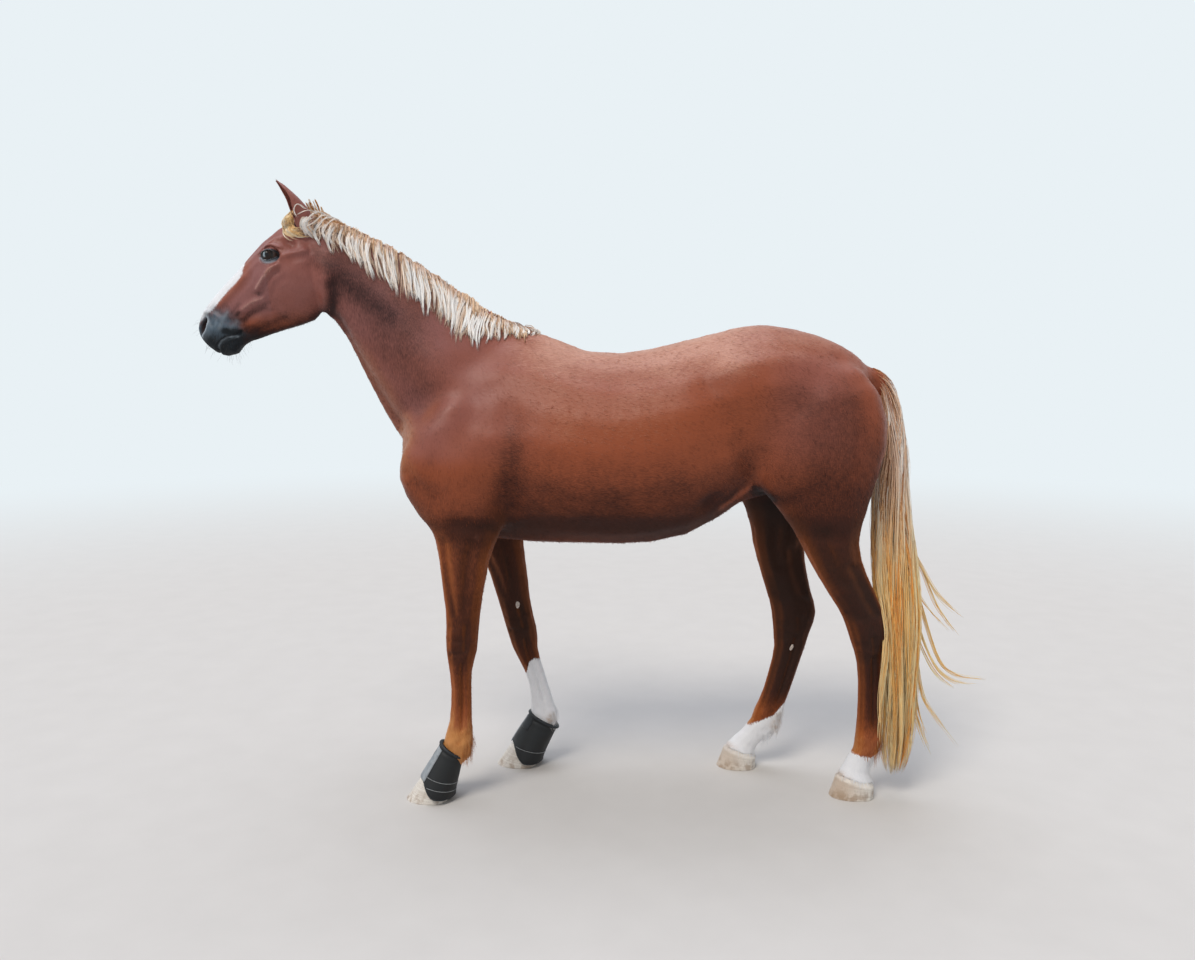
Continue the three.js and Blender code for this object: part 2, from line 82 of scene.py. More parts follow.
def ease(low, high, value):
    t = np.clip((np.asarray(value, float) - low) / (high - low), 0, 1)
    return t * t * (3 - 2 * t)


def bell(distance, reach):
    """1 at no distance, falling smoothly to almost nothing at twice the reach."""
    return np.exp(-((distance / reach) ** 2))


def unit(vectors):
    return vectors / np.maximum(np.linalg.norm(vectors, axis=-1, keepdims=True), 1e-12)


def side_view(points):
    return points[:, [0, 2]]


def node_box(node):
    return [table(corner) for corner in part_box(node)]


def at_node(points, node, before, behind, top):
    """Which points are on a node's side of the horse, within its length and below a height."""
    low, high = node_box(node)
    x, y, z = points.T
    beside = y * (low[1] + high[1]) > 0
    return beside & (x > low[0] - before) & (x < high[0] + behind) & (z < top)


def curve_through(points, count):
    """A smooth row of count points through the given ones."""
    p = np.asarray(points, float)
    ends = np.vstack([2 * p[0] - p[1], p, 2 * p[-1] - p[-2]])
    u = np.linspace(0, len(p) - 1 - 1e-9, count)
    i = u.astype(int)
    t = (u - i)[:, None]
    a, b, c, d = ends[i], ends[i + 1], ends[i + 2], ends[i + 3]
    bend = (2 * a - 5 * b + 4 * c - d) * t + (3 * (b - c) + d - a) * t * t
    return b + 0.5 * t * (c - a + bend)


# ------------------------------------------------------------------ camera
CAMERA_BACK, CAMERA_HEIGHT, CAMERA_TILT = 3.490, 1.550, 6.654  # metres, metres, degrees
SENSOR_WIDTH, LENS = 36, 28.92  # millimetres
bpy.ops.object.camera_add(
    location=(ORIGIN[0], -CAMERA_BACK, CAMERA_HEIGHT),
    rotation=(math.radians(90 - CAMERA_TILT), 0, 0),
)
camera = bpy.context.object
camera.data.sensor_width = SENSOR_WIDTH
camera.data.lens = LENS
SCENE.camera = camera
SCENE.view_settings.view_transform = "Standard"


# ------------------------------------------------------------------ meshes
def deselect():
    for o in bpy.data.objects:
        o.select_set(False)


def only(obj):
    deselect()
    obj.select_set(True)
    bpy.context.view_layer.objects.active = obj


def edit_all(obj, operator, **settings):
    """Runs one edit-mode operator on the whole of a mesh."""
    only(obj)
    bpy.ops.object.mode_set(mode="EDIT")
    bpy.ops.mesh.select_all(action="SELECT")
    operator(**settings)
    bpy.ops.object.mode_set(mode="OBJECT")
    return obj


def facing_outwards(obj):
    return edit_all(obj, bpy.ops.mesh.normals_make_consistent, inside=False)


def joined(name, objects):
    only(objects[0])
    for o in objects:
        o.select_set(True)
    if len(objects) > 1:
        bpy.ops.object.join()
    bpy.context.object.name = name
    return bpy.context.object


def ball(segments, rings):
    """A sphere with a radius of 1, to be shaped by moving its points."""
    deselect()
    bpy.ops.mesh.primitive_uv_sphere_add(segments=segments, ring_count=rings, radius=1.0)
    bpy.ops.object.shade_smooth()
    return bpy.context.object


def coords(obj, kind="co"):
    a = np.empty(len(obj.data.vertices) * 3, np.float32)
    obj.data.vertices.foreach_get(kind, a)
    return a.reshape(-1, 3).astype(float)


def set_coords(obj, points):
    obj.data.vertices.foreach_set("co", np.ascontiguousarray(points, np.float32).ravel())
    obj.data.update()


def edges_of(obj):
    a = np.empty(len(obj.data.edges) * 2, np.int32)
    obj.data.edges.foreach_get("vertices", a)
    return a.reshape(-1, 2)


def relax(points, edges, share, rounds, back=-0.53):
    """Smooths by a share from 0 to 1 at each point. The step back keeps the volume."""
    n = len(points)
    count = np.maximum(np.bincount(edges.ravel(), minlength=n), 1)[:, None]
    share = np.broadcast_to(share, n)[:, None]
    a, b = edges.T
    for _ in range(rounds):
        for step in (0.5, back) if back else (0.5,):
            total = [np.bincount(a, points[b, k], n) + np.bincount(b, points[a, k], n)
                     for k in range(3)]
            points = points + step * share * (np.stack(total, 1) / count - points)
    return points


def new_mesh(name, points, *face_sets):
    """An object from arrays of points and of faces (one array for each number of corners)."""
    mesh = bpy.data.meshes.new(name)
    mesh.vertices.add(len(points))
    mesh.vertices.foreach_set("co", np.ascontiguousarray(points, np.float32).ravel())
    loops = np.concatenate([f.ravel() for f in face_sets])
    sizes = np.concatenate([np.full(len(f), f.shape[1]) for f in face_sets])
    mesh.loops.add(len(loops))
    mesh.loops.foreach_set("vertex_index", loops.astype(np.int32))
    mesh.polygons.add(len(sizes))
    starts = np.concatenate([[0], np.cumsum(sizes)[:-1]])
    mesh.polygons.foreach_set("loop_start", starts.astype(np.int32))
    mesh.polygons.foreach_set("use_smooth", np.ones(len(sizes), bool))
    mesh.update(calc_edges=True)
    obj = bpy.data.objects.new(name, mesh)
    SCENE.collection.objects.link(obj)
    return obj


def grid(rows, cols, round_=True, ring=False):
    """Faces between rows of points. round_ closes each row, ring joins the last to the first."""
    r, c = np.meshgrid(np.arange(rows if ring else rows - 1),
                       np.arange(cols if round_ else cols - 1), indexing="ij")
    below, beside = (r + 1) % rows, (c + 1) % cols
    corners = (r * cols + c, r * cols + beside, below * cols + beside, below * cols + c)
    return np.stack(corners, -1).reshape(-1, 4)


def shell(name, outer, inner, round_):
    """Two surfaces with the same rows and columns of points, joined along their free edges."""
    rows, cols, _ = outer.shape
    index = np.arange(rows * cols).reshape(rows, cols)
    edges = [index[0], index[-1]]
    if not round_:
        edges = [np.concatenate([index[0], index[1:, -1], index[-1, -2::-1], index[-2:0:-1, 0]])]
    walls = [np.stack([e, e + index.size, np.roll(e, -1) + index.size, np.roll(e, -1)], 1)
             for e in edges]
    faces = grid(rows, cols, round_)
    points = np.concatenate([outer.reshape(-1, 3), inner.reshape(-1, 3)])
    return facing_outwards(
        new_mesh(name, points, np.concatenate([faces, faces + index.size, *walls])))


def set_values(obj, **values):
    """One float for each vertex, under each name."""
    for name, value in values.items():
        layer = obj.data.attributes.get(name) or obj.data.attributes.new(name, "FLOAT", "POINT")
        spread = np.broadcast_to(np.asarray(value, np.float32), len(obj.data.vertices))
        layer.data.foreach_set("value", np.ascontiguousarray(spread))


def copy_of(name, *nodes):
    """One object with copies of CAD nodes in it, each closed."""
    copies = []
    for node in nodes:
        c = bpy.data.objects.new(name, NODES[node].data.copy())
        c.data.materials.clear()
        SCENE.collection.objects.link(c)
        copies.append(c)
    return edit_all(joined(name, copies), bpy.ops.mesh.remove_doubles, threshold=1e-5)


def remesh(obj, voxel, swell=0.0):
    if swell:
        set_coords(obj, coords(obj) + coords(obj, "normal") * swell)
    only(obj)
    obj.data.remesh_voxel_size = voxel
    bpy.ops.object.voxel_remesh()
    obj.data.polygons.foreach_set("use_smooth", np.ones(len(obj.data.polygons), bool))
    return obj


def refine(obj, chosen, finest):
    """Splits in four each face with all its corners chosen, down to edges of about finest."""
    only(obj)
    bpy.ops.object.mode_set(mode="EDIT")
    bpy.ops.mesh.select_mode(type="FACE")
    bpy.ops.mesh.select_all(action="DESELECT")
    bpy.ops.object.mode_set(mode="OBJECT")
    pick = [f.area > finest**2 and all(chosen[v] for v in f.vertices) for f in obj.data.polygons]
    obj.data.polygons.foreach_set("select", pick)
    bpy.ops.object.mode_set(mode="EDIT")
    bpy.ops.mesh.subdivide(number_cuts=1)
    bpy.ops.object.mode_set(mode="OBJECT")


def apply_modifier(obj, kind, **settings):
    only(obj)
    m = obj.modifiers.new(kind, kind)
    for key, value in settings.items():
        setattr(m, key, value)
    bpy.ops.object.modifier_apply(modifier=m.name)


def tree_of(obj):
    return BVHTree.FromPolygons(
        [v.co[:] for v in obj.data.vertices], [p.vertices[:] for p in obj.data.polygons]
    )


def distance_to_line(q, line):
    """Distance of each point of q to a polyline, both in one plane."""
    line = np.asarray(line, float)
    if len(line) == 1:
        return np.linalg.norm(q - line[0], axis=1)
    best = np.full(len(q), np.inf)
    for a, b in zip(line[:-1], line[1:]):
        ab = b - a
        t = np.clip(((q - a) @ ab) / (ab @ ab), 0, 1)
        best = np.minimum(best, np.linalg.norm(q - a - t[:, None] * ab, axis=1))
    return best


def inside_by(q, outline):
    """Signed distance to a closed outline, positive inside."""
    o = np.asarray(outline, float)
    d = distance_to_line(q, np.vstack([o, o[:1]]))
    crossings = np.zeros(len(q), bool)
    for a, b in zip(o, np.roll(o, -1, 0)):
        if a[1] != b[1]:
            over = (a[1] > q[:, 1]) != (b[1] > q[:, 1])
            crossings ^= over & (q[:, 0] < (b[0] - a[0]) * (q[:, 1] - a[1]) / (b[1] - a[1]) + a[0])
    return np.where(crossings, d, -d)


def strokes(q, lines):
    """The sum of soft lines at points q, each with its reach and its height in the middle."""
    return sum(height * bell(distance_to_line(q, line), reach) for line, reach, height in lines)


# ------------------------------------------------------------------ ears
# Columns: x, z of the front edge, x, z of the back edge, half width, distance from the middle.
EAR = [
    [-1040, 1986, -1006, 1998, 9, 36],
    [-1050, 2022, -994, 2040, 17, 45],
    [-1058, 2054, -996, 2082, 23, 51],
    [-1069, 2088, -1008, 2112, 26, 55],
    [-1082, 2118, -1028, 2136, 25, 57],
    [-1095, 2146, -1054, 2159, 20, 59],
    [-1107, 2171, -1080, 2180, 13, 60],
    [-1115, 2187, -1098, 2191, 7, 60],
    [-1119, 2196, -1111, 2198, 2.5, 60],
]
EAR_RINGS, EAR_SIDES = 46, 24
EAR_OPENS = 0.62  # the cup's mouth turns this far outwards from the front, in radians
EAR_WALL = 3.6


def ear(side):
    """A leaf of gristle rolled into a cup: closed low down, open to the front and outwards."""
    rows = curve_through(EAR, EAR_RINGS)
    turned = ease(2040, 2110, rows[:, 1])
    rows[:, 2] -= 0.16 * (rows[:, 2] - rows[:, 0]) * turned
    if side == FAR:  # this one is turned further to the front, so it is narrow from the side
        rows[:, 0] -= 9 * turned
        rows[:, 2] -= (9 + 0.32 * (rows[:, 2] - rows[:, 0])) * turned
        rows[:, 4] *= 1 + 0.2 * turned
    up = np.linspace(0, 1, EAR_RINGS)
    gaps = 0.02 + 1.05 * ease(0.24, 0.62, up) * (1 - 0.35 * ease(0.85, 1, up))
    depths = ease(0.16, 0.34, up)
    points = []
    for (x1, z1, x2, z2, half, y), gap, deep in zip(rows, gaps, depths):
        middle = np.array([(x1 + x2) / 2, side * y, (z1 + z2) / 2])
        front = np.array([(x1 - x2) / 2, 0, (z1 - z2) / 2])
        out = np.array([0, side * half, 0])
        a = np.linspace(gap, 2 * math.pi - gap, EAR_SIDES) + EAR_OPENS
        wall = min(EAR_WALL, 0.42 * half)
        inner = 1 - wall / np.hypot(half, np.linalg.norm(front)) * 1.3
        ring = np.cos(a)[:, None] * front + np.sin(a)[:, None] * out
        lining = ring[::-1] * (0.25 + (inner - 0.25) * deep)
        points += [middle + ring, middle + lining]
    n = 2 * EAR_SIDES
    caps = np.array([np.arange(n)[::-1], (EAR_RINGS - 1) * n + np.arange(n)])
    obj = new_mesh("ear_shape", world(np.concatenate(points)), grid(EAR_RINGS, n), caps)
    return facing_outwards(obj)


# ------------------------------------------------------------------ skin
FLESH = ["head", "neck", "trunk", "dock"] + [
    f"{end}_leg_{side}" for end in ("fore", "hind") for side in ("near", "far")
]
COAT_DEPTH = 1.0  # the hair that lies over the skin
FORM_GRAIN, SKIN_GRAIN, PARTING_CUTS = 0.006, 0.0204, 0.0006  # metres
EYE_AT, EYE_R = np.array([-1145.0, 68.0, 1940.0]), 27.0
NOSTRIL_AT = (-1402, 42, 1696)

# The true form keeps the nodes' shape. The skin's coarser mesh is split where the horse needs
# more detail, and its points are then moved onto the true form and smoothed.
true_form = remesh(copy_of("true_form", *FLESH), FORM_GRAIN, PARTING_CUTS)
set_coords(true_form, relax(coords(true_form), edges_of(true_form), 1.0, 14))

skin = remesh(copy_of("skin", *FLESH), SKIN_GRAIN, PARTING_CUTS)
for side in (NEAR, FAR):
    shape = ear(side)
    apply_modifier(skin, "BOOLEAN", operation="UNION", object=shape, solver="EXACT")
    bpy.data.objects.remove(shape)


def from_eye(points):
    """Distance from the middle of the eye, seen from the side."""
    return np.hypot(points[:, 0] - EYE_AT[0], points[:, 2] - EYE_AT[2])


def within(points, at, reach):
    """Which points are near a place on the near side or its mirror image."""
    mirrored = np.column_stack([points[:, 0], np.abs(points[:, 1]), points[:, 2]])
    return np.linalg.norm(mirrored - np.asarray(at, float), axis=1) < reach


def zones():
    """The skin's points, and which are on the head but not on the ears."""
    p = table(coords(skin))
    ears = (p[:, 2] > 2062) & (np.abs(p[:, 1]) > 24) & (p[:, 0] < -980)
    return p, (p[:, 0] < -915) & (p[:, 2] > 1560) & ~ears


p, face_and_jaw = zones()
refine(skin, face_and_jaw | (p[:, 2] < 960), 0.0115)
p, face_and_jaw = zones()
refine(skin, (face_and_jaw & (p[:, 0] < -985)) | (p[:, 2] < 660), 0.0062)
for eye_reach, nostril_reach, finest in ((48, 40, 0.003), (37, 0, 0.0016)):
    p, _ = zones()
    refine(skin, within(p, EYE_AT, eye_reach) | within(p, NOSTRIL_AT, nostril_reach), finest)

p = coords(skin)
form_tree = tree_of(true_form)
place = table(p)
x, y, z = place.T
may_be_ear = (z > 2000) & (x < -970) & (np.abs(y) > 20)
on_ear = np.zeros(len(p), bool)
for i in range(len(p)):
    hit, _, _, gap = form_tree.find_nearest(Vector(p[i]))
    on_ear[i] = may_be_ear[i] and gap > 0.0045
    if not on_ear[i]:
        p[i] = hit
bpy.data.objects.remove(true_form)
edges = edges_of(skin)
firm = np.where(z < 1000, 0.55, 1.0)  # the legs and the head keep more of their corners
firm = np.where((x < -915) & (z > 1560), 0.6, firm)
firm[on_ear] = 0.0
p = relax(p * 1000, edges, firm, 34)
ear_root = (z > 1985) & (z < 2080) & (x < -960) & (np.abs(y) > 18)
p = relax(p, edges, np.where(ear_root & ~on_ear, 0.9, np.where(ear_root, 0.35, 0)), 6, back=0)
p = table(p / 1000)

# Folds, ridges and hollows: lines in the X-Z plane, their reach and how far they rise.
HEAD_LINES = [
    ([(-1112, 1904), (-1139, 1890), (-1165, 1856), (-1186, 1822)], 8, 12),  # facial crest
    ([(-1112, 1884), (-1136, 1868), (-1156, 1836), (-1172, 1808)], 11, -5),
    ([(-1196, 1804)], 12, -6),
    ([(-1092, 1862), (-1122, 1838), (-1140, 1795), (-1126, 1741), (-1096, 1712)], 13, -3.5),
    ([(-1030, 1832)], 74, 7),  # cheek muscle
    ([(-1105, 1934), (-1065, 1946), (-1021, 1957)], 9, 7),  # arch behind the eye
    ([(-1060, 1926), (-1030, 1932)], 12, -2.5),
    ([(-1068, 1980), (-1084, 1990)], 15, -10),  # hollow over the eye
    ([(-1150, 1980), (-1128, 1996), (-1100, 2004), (-1070, 2004)], 9, 5),  # brow
    ([(-1026, 1960), (-1004, 1940)], 12, 5),  # jaw joint
    ([(-1257, 1652), (-1177, 1680), (-1085, 1706), (-994, 1722)], 10, 5),  # rim of the jaw
    ([(-1240, 1672), (-1170, 1700), (-1100, 1726)], 8, -2.5),
    ([(-1168, 1794), (-1213, 1779), (-1255, 1752)], 8, 8.5),
    ([(-1150, 1776), (-1200, 1760), (-1240, 1736)], 7, -5.5),
    ([(-1284, 1742), (-1262, 1770)], 7, -5),
    ([(-1262, 1713), (-1215, 1742), (-1179, 1752), (-1148, 1752)], 8, -6.5),
    ([(-1249, 1680), (-1208, 1703), (-1170, 1712)], 8, -4),
    ([(-1236, 1700), (-1190, 1726)], 8, 3.5),
    ([(-1392, 1746), (-1360, 1741), (-1330, 1720)], 10, 8),  # wing of the nostril
    ([(-1372, 1716), (-1352, 1690), (-1356, 1660)], 9, -4),
    ([(-1340, 1692), (-1306, 1696)], 20, 5),
    ([(-1300, 1720), (-1278, 1700)], 9, -4),
    ([(-926, 1840), (-921, 1800), (-934, 1766), (-955, 1748)], 18, -11),  # throat
    ([(-975, 1740), (-958, 1800), (-950, 1860), (-965, 1910)], 12, 5),  # back edge of the jaw
    ([(-1210, 1860), (-1262, 1812), (-1310, 1768)], 14, -4.5),
    ([(-1236, 1868), (-1290, 1812), (-1340, 1764)], 9, 3.5),  # nose bone
    ([(-1302, 1612), (-1286, 1632)], 18, 5),  # chin
    ([(-1190, 1900), (-1205, 1880)], 10, -3),
]
BODY_LINES = [
    ([(-925, 1720), (-870, 1600), (-800, 1470), (-715, 1350)], 24, -13),  # jugular groove
    ([(-955, 1850), (-875, 1715), (-785, 1575), (-700, 1440), (-640, 1330)], 38, 11),
    ([(-950, 1935), (-925, 1895)], 26, 6),
    ([(-700, 1800), (-600, 1640), (-520, 1520)], 60, 5),
    ([(-330, 1650), (-470, 1550), (-600, 1430), (-665, 1340)], 48, -7),
    ([(-330, 1600), (-440, 1500), (-545, 1370), (-610, 1260)], 52, 6.5),  # shoulder blade
    ([(-290, 1560), (-400, 1440), (-480, 1320)], 40, -4),
    ([(-650, 1240), (-632, 1200)], 42, 11),  # point of the shoulder
    ([(-440, 1215)], 80, 14),  # muscle over the elbow
    ([(-560, 1230), (-530, 1120)], 26, -7),
    ([(-305, 1404), (-293, 1304), (-287, 1190), (-300, 1090)], 48, -10),
    ([(-648, 1195), (-607, 1150), (-560, 1110)], 24, -11),
    ([(-488, 1022), (-420, 1003), (-345, 988)], 20, -9),
    ([(-334, 1000), (-300, 1020), (-262, 1036)], 16, 9),
    ([(455, 1562), (482, 1530)], 40, 10),  # point of the hip
    ([(364, 1499), (403, 1444), (439, 1377)], 42, -14),  # flank
    ([(484, 1322), (470, 1300)], 20, -6),
    ([(430, 1245), (500, 1180), (522, 1148)], 26, 8),
    ([(366, 1079), (396, 1107)], 22, -10),
    ([(590, 1130)], 42, 9),  # stifle
    ([(634, 1085), (700, 1120)], 26, -7),
    ([(764, 980), (833, 966)], 22, -8),
    ([(840, 1580), (872, 1450), (880, 1330), (866, 1200)], 24, -8),
    ([(930, 1460), (945, 1320)], 34, 7),
    ([(620, 1640), (700, 1560), (760, 1430)], 60, 6),
    ([(530, 1640), (560, 1560), (600, 1440)], 34, -6),
    ([(680, 1350), (700, 1200)], 50, 5),
    ([(-150, 1560), (60, 1500), (280, 1520)], 46, -4),
]
BODY_LINES += [
    ([(-180 + 64 * k, 1400), (-170 + 66 * k, 1270), (-185 + 60 * k, 1140)], 20, 1.3)
    for k in range(8)
]
# On the legs a place is its share of the way from front to back, and its height.
FORE_LINES = [
    ([(0.16, 980), (0.2, 820), (0.3, 690)], 9, -7),
    ([(0.62, 985), (0.58, 820), (0.54, 700)], 9, -7),
    ([(0.4, 930), (0.38, 800), (0.42, 700)], 12, 5),
    ([(0.84, 930), (0.82, 780)], 10, 4),
    ([(0.28, 625), (0.24, 570)], 14, 6),  # knee
    ([(0.5, 655), (0.5, 620)], 10, 3),
    ([(0.5, 592), (0.2, 596)], 6, -3.5),
    ([(0.5, 548), (0.2, 544)], 7, -4),
    ([(0.88, 600)], 13, 5),
    ([(0.66, 650), (0.68, 560)], 8, -6),
    ([(0.6, 510), (0.6, 400), (0.6, 265)], 7, -7),
    ([(0.84, 490), (0.84, 265)], 8, 3.5),
    ([(0.3, 490), (0.3, 280)], 11, 4),
    ([(0.8, 218)], 15, 6),  # fetlock
    ([(0.28, 215)], 13, 5),
    ([(0.55, 220)], 9, -4),
    ([(0.56, 150)], 13, -4),
]
HIND_LINES = [
    ([(0.72, 860), (0.75, 760), (0.78, 690)], 13, -12),  # in front of the Achilles tendon
    ([(0.36, 980), (0.4, 800)], 11, -7),
    ([(0.16, 950), (0.26, 770)], 14, 5),
    ([(0.56, 960), (0.56, 830)], 13, 5),
    ([(0.3, 650), (0.3, 600)], 16, 6.5),  # hock
    ([(0.6, 600), (0.66, 560)], 9, -6),
    ([(0.88, 655), (0.86, 600)], 11, 5),
    ([(0.2, 560), (0.5, 545)], 8, 4),
    ([(0.2, 690), (0.4, 676)], 9, -4),
    ([(0.6, 520), (0.62, 400), (0.62, 270)], 8, -7),
    ([(0.84, 500), (0.84, 270)], 8, 3.5),
    ([(0.3, 500), (0.3, 280)], 11, 4),
    ([(0.8, 228)], 15, 6),
    ([(0.28, 225)], 13, 5),
    ([(0.55, 228)], 9, -4),
    ([(0.56, 155)], 13, -4),
]


def rise(points, facing, lines, q, where=True):
    """Moves points in or out by their lines, on the faces that are turned to a side."""
    q = np.where(np.broadcast_to(where, len(q))[:, None], q, 9e9)
    total = np.zeros(len(points))
    for line, reach, height in lines:
        low, high = np.min(line, 0) - 2.2 * reach, np.max(line, 0) + 2.2 * reach
        near = np.all((q > low) & (q < high), axis=1)
        if near.any():
            total[near] += height * bell(distance_to_line(q[near], line), reach)
    total *= ease(0.2, 0.7, np.abs(facing[:, 1]))
    relief[:] += total
    return points + facing * total[:, None]


set_coords(skin, world(p))
facing = coords(skin, "normal")
relief = np.zeros(len(p))
xz = side_view(p)
p = rise(p, facing, HEAD_LINES, xz, p[:, 0] < -880)
p = rise(p, facing, BODY_LINES, xz, p[:, 2] > 940)
LEG_DEPTH = 90  # a leg's share from front to back counts as this many millimetres
LEVELS, LEVEL_HIGH = 121, 12
for leg in FLESH[4:]:
    own = at_node(p, leg, 5, 5, node_box(leg)[1][2] - 4)
    levels = np.clip((p[own, 2] / LEVEL_HIGH).astype(int), 0, LEVELS - 1)
    front, back = np.full(LEVELS, np.inf), np.full(LEVELS, -np.inf)
    np.minimum.at(front, levels, p[own, 0])
    np.maximum.at(back, levels, p[own, 0])
    share = (p[own, 0] - front[levels]) / np.maximum(back - front, 1)[levels]
    place = np.zeros((len(p), 2))
    place[own] = np.column_stack([share * LEG_DEPTH, p[own, 2]])
    lines = [([(part * LEG_DEPTH, z) for part, z in line], reach, height)
             for line, reach, height in (FORE_LINES if "fore" in leg else HIND_LINES)]
    p = rise(p, facing, lines, place, own)

# ------------------------------------------------------------------ lids, nostrils and mouth
OPENING = curve_through(
    [(-1171, 1938), (-1163, 1950), (-1144, 1957.5), (-1124, 1954), (-1115, 1942.5),
     (-1124, 1929), (-1145, 1922), (-1161, 1926), (-1171, 1938)], 49)[:-1]
LID, SOCKET = 3.0, 75  # thickness of a lid, and the reach of the skin around the eye
UPPER_FOLD = [(-1180, 1946), (-1168, 1963), (-1138, 1972), (-1108, 1962)]
LOWER_FOLD = [(-1172, 1924), (-1150, 1909), (-1124, 1915)]

# the skin over the socket is spread out evenly before the lids are formed in it
socket = (np.abs(p[:, 1]) > 25) & (from_eye(p) < SOCKET)
socket[socket] = inside_by(side_view(p[socket]), OPENING) > -14
p = relax(p, edges, np.where(socket, 0.95, 0.0), 150, back=0)
for side in (NEAR, FAR):
    near = (p[:, 1] * side > 25) & (from_eye(p) < SOCKET)
    q = side_view(p[near])
    h = p[near, 1] * side
    s = -inside_by(q, OPENING)
    # points close to the opening's edge are moved onto it, so that the edge is clean
    slope = np.stack([(inside_by(q - d, OPENING) - inside_by(q + d, OPENING)) / 0.4
                      for d in ([0.2, 0], [0, 0.2])], 1)
    snap = np.abs(s) < 1.6
    q[snap] += slope[snap] * (0.1 - s[snap])[:, None]
    p[np.flatnonzero(near)[:, None], [0, 2]] = q
    s = -inside_by(q, OPENING)
    u, v = (q - EYE_AT[[0, 2]]).T / 30
    forms = np.column_stack([np.ones(len(q)), u, v, u * u, u * v, v * v])
    about = (s > 12) & (s < 30)  # the face round the socket gives the form across it
    even = forms @ np.linalg.lstsq(forms[about], h[about], rcond=None)[0]
    h = even + (h - even) * ease(9, 15, s)
    d = np.hypot(q[:, 0] - EYE_AT[0], q[:, 1] - EYE_AT[2])
    lid = EYE_AT[1] + np.sqrt(np.maximum((EYE_R + LID) ** 2 - d * d, 0))
    behind_lids = EYE_AT[1] + np.sqrt(np.maximum((EYE_R - 4) ** 2 - d * d, 0)) - 3
    h = lid + (h - lid) * ease(2, 15, s)
    fold = distance_to_line(q, UPPER_FOLD)
    above = q[:, 1] > np.interp(q[:, 0], *np.transpose(UPPER_FOLD))
    h += 2.4 * bell(fold - 7, 5) * above - 3.2 * bell(fold, 3.4)
    h -= 1.8 * bell(distance_to_line(q, LOWER_FOLD), 3)
    p[near, 1] = side * (behind_lids + (h - behind_lids) * ease(-1.4, 0.2, s))

set_coords(skin, world(p))
tree = tree_of(skin)
facing = coords(skin, "normal")
NOSTRIL, NOSTRIL_TALL, NOSTRIL_WIDE = (-1399, 1697), 31.0, 15.0
NOSTRIL_RIM = [(-1397, 1729), (-1388, 1711), (-1385, 1690), (-1388, 1671), (-1396, 1662)]
# how far out of the nearer nostril each point is, as a share, and how far behind its middle
nostril_q, behind_it = np.full(len(p), 9.0), np.zeros(len(p))
for side in (NEAR, FAR):
    start = world([NOSTRIL[0], side * 300, NOSTRIL[1]])
    hit, *_ = tree.ray_cast(Vector(start), Vector((0, -side, 0)))
    out = unit(np.array([-0.78, side * 0.62, 0.02]))
    up = unit(np.array([0.06, side * 0.12, 1.0]))
    up = unit(up - out * (up @ out))
    across = np.cross(out, up) * -side  # towards the cheek
    r = p - table(hit)
    u, v = r @ up, r @ across
    v = v + 5 * ease(0, 30, u) - 2  # the upper end curls back
    k = np.hypot(u / NOSTRIL_TALL, v / (NOSTRIL_WIDE * (1 - 0.35 * ease(0, 30, u))))
    k[np.abs(r @ out) > 34] = 9
    behind_it = np.where(k < nostril_q, v, behind_it)
    nostril_q = np.minimum(nostril_q, k)
    pit = 26 * np.clip(1 - k**2.4, 0, 1) ** 0.7
    p += out * (3.2 * bell(k - 1.22, 0.2) - pit)[:, None]

MOUTH = [(-1356, 1594), (-1350, 1612), (-1340, 1637), (-1321, 1653), (-1293, 1661),
         (-1277, 1669), (-1266, 1680)]
LIP_RIM = [(-1348, 1612), (-1345, 1628), (-1332, 1645), (-1315, 1656), (-1299, 1660),
           (-1277, 1662)]
q = side_view(p)
on_head = p[:, 0] < -1200
mouth_d = np.where(on_head, distance_to_line(q, MOUTH), 99.0)
parting = ease(1645, 1610, p[:, 2])  # the lips part more widely in front
groove = 2.6 * bell(mouth_d - 9, 5) - (6 + 5 * parting) * bell(mouth_d, 3.6 + 2.6 * parting)
p += facing * (groove * (mouth_d < 30) - COAT_DEPTH)[:, None]
set_coords(skin, world(p))
facing = coords(skin, "normal")
skin_tree = tree_of(skin)

# ------------------------------------------------------------------ markings
BLAZE = [
    (-1254, 1924), (-1240, 1906), (-1242, 1883), (-1270, 1848), (-1306, 1818),
    (-1338, 1784), (-1365, 1749), (-1386, 1734), (-1410, 1716), (-1500, 1716), (-1500, 1924),
]
MUZZLE = [
    (-1381, 1738), (-1350, 1748), (-1320, 1742), (-1292, 1722), (-1270, 1698), (-1252, 1668),
    (-1252, 1648), (-1256, 1540), (-1500, 1540), (-1500, 1716), (-1410, 1716),
]
SOCKS = {  # x and the height of the white's edge there
    "fore_leg_far": [(-290, 360), (-276, 372), (-266, 415), (-245, 432), (-228, 425), (-200, 430)],
    "hind_leg_near": [(900, 168), (945, 160), (985, 152), (1040, 180)],
    "hind_leg_far": [(590, 168), (601, 173), (644, 198), (682, 214), (700, 238), (760, 280)],
}


# How dark the sides of the legs are at each height.
FORE_TONE = ([190, 240, 290, 360, 500, 555, 630, 690, 800, 1000],
             [0.2, 0.1, -0.2, -0.55, -0.85, -1.1, -1.05, -0.85, -0.75, -0.6])
HIND_TONE = ([190, 240, 300, 470, 600, 700, 800, 900, 1000],
             [-0.2, -0.5, -0.95, -1.3, -1.4, -1.4, -1.35, -1.15, -0.75])
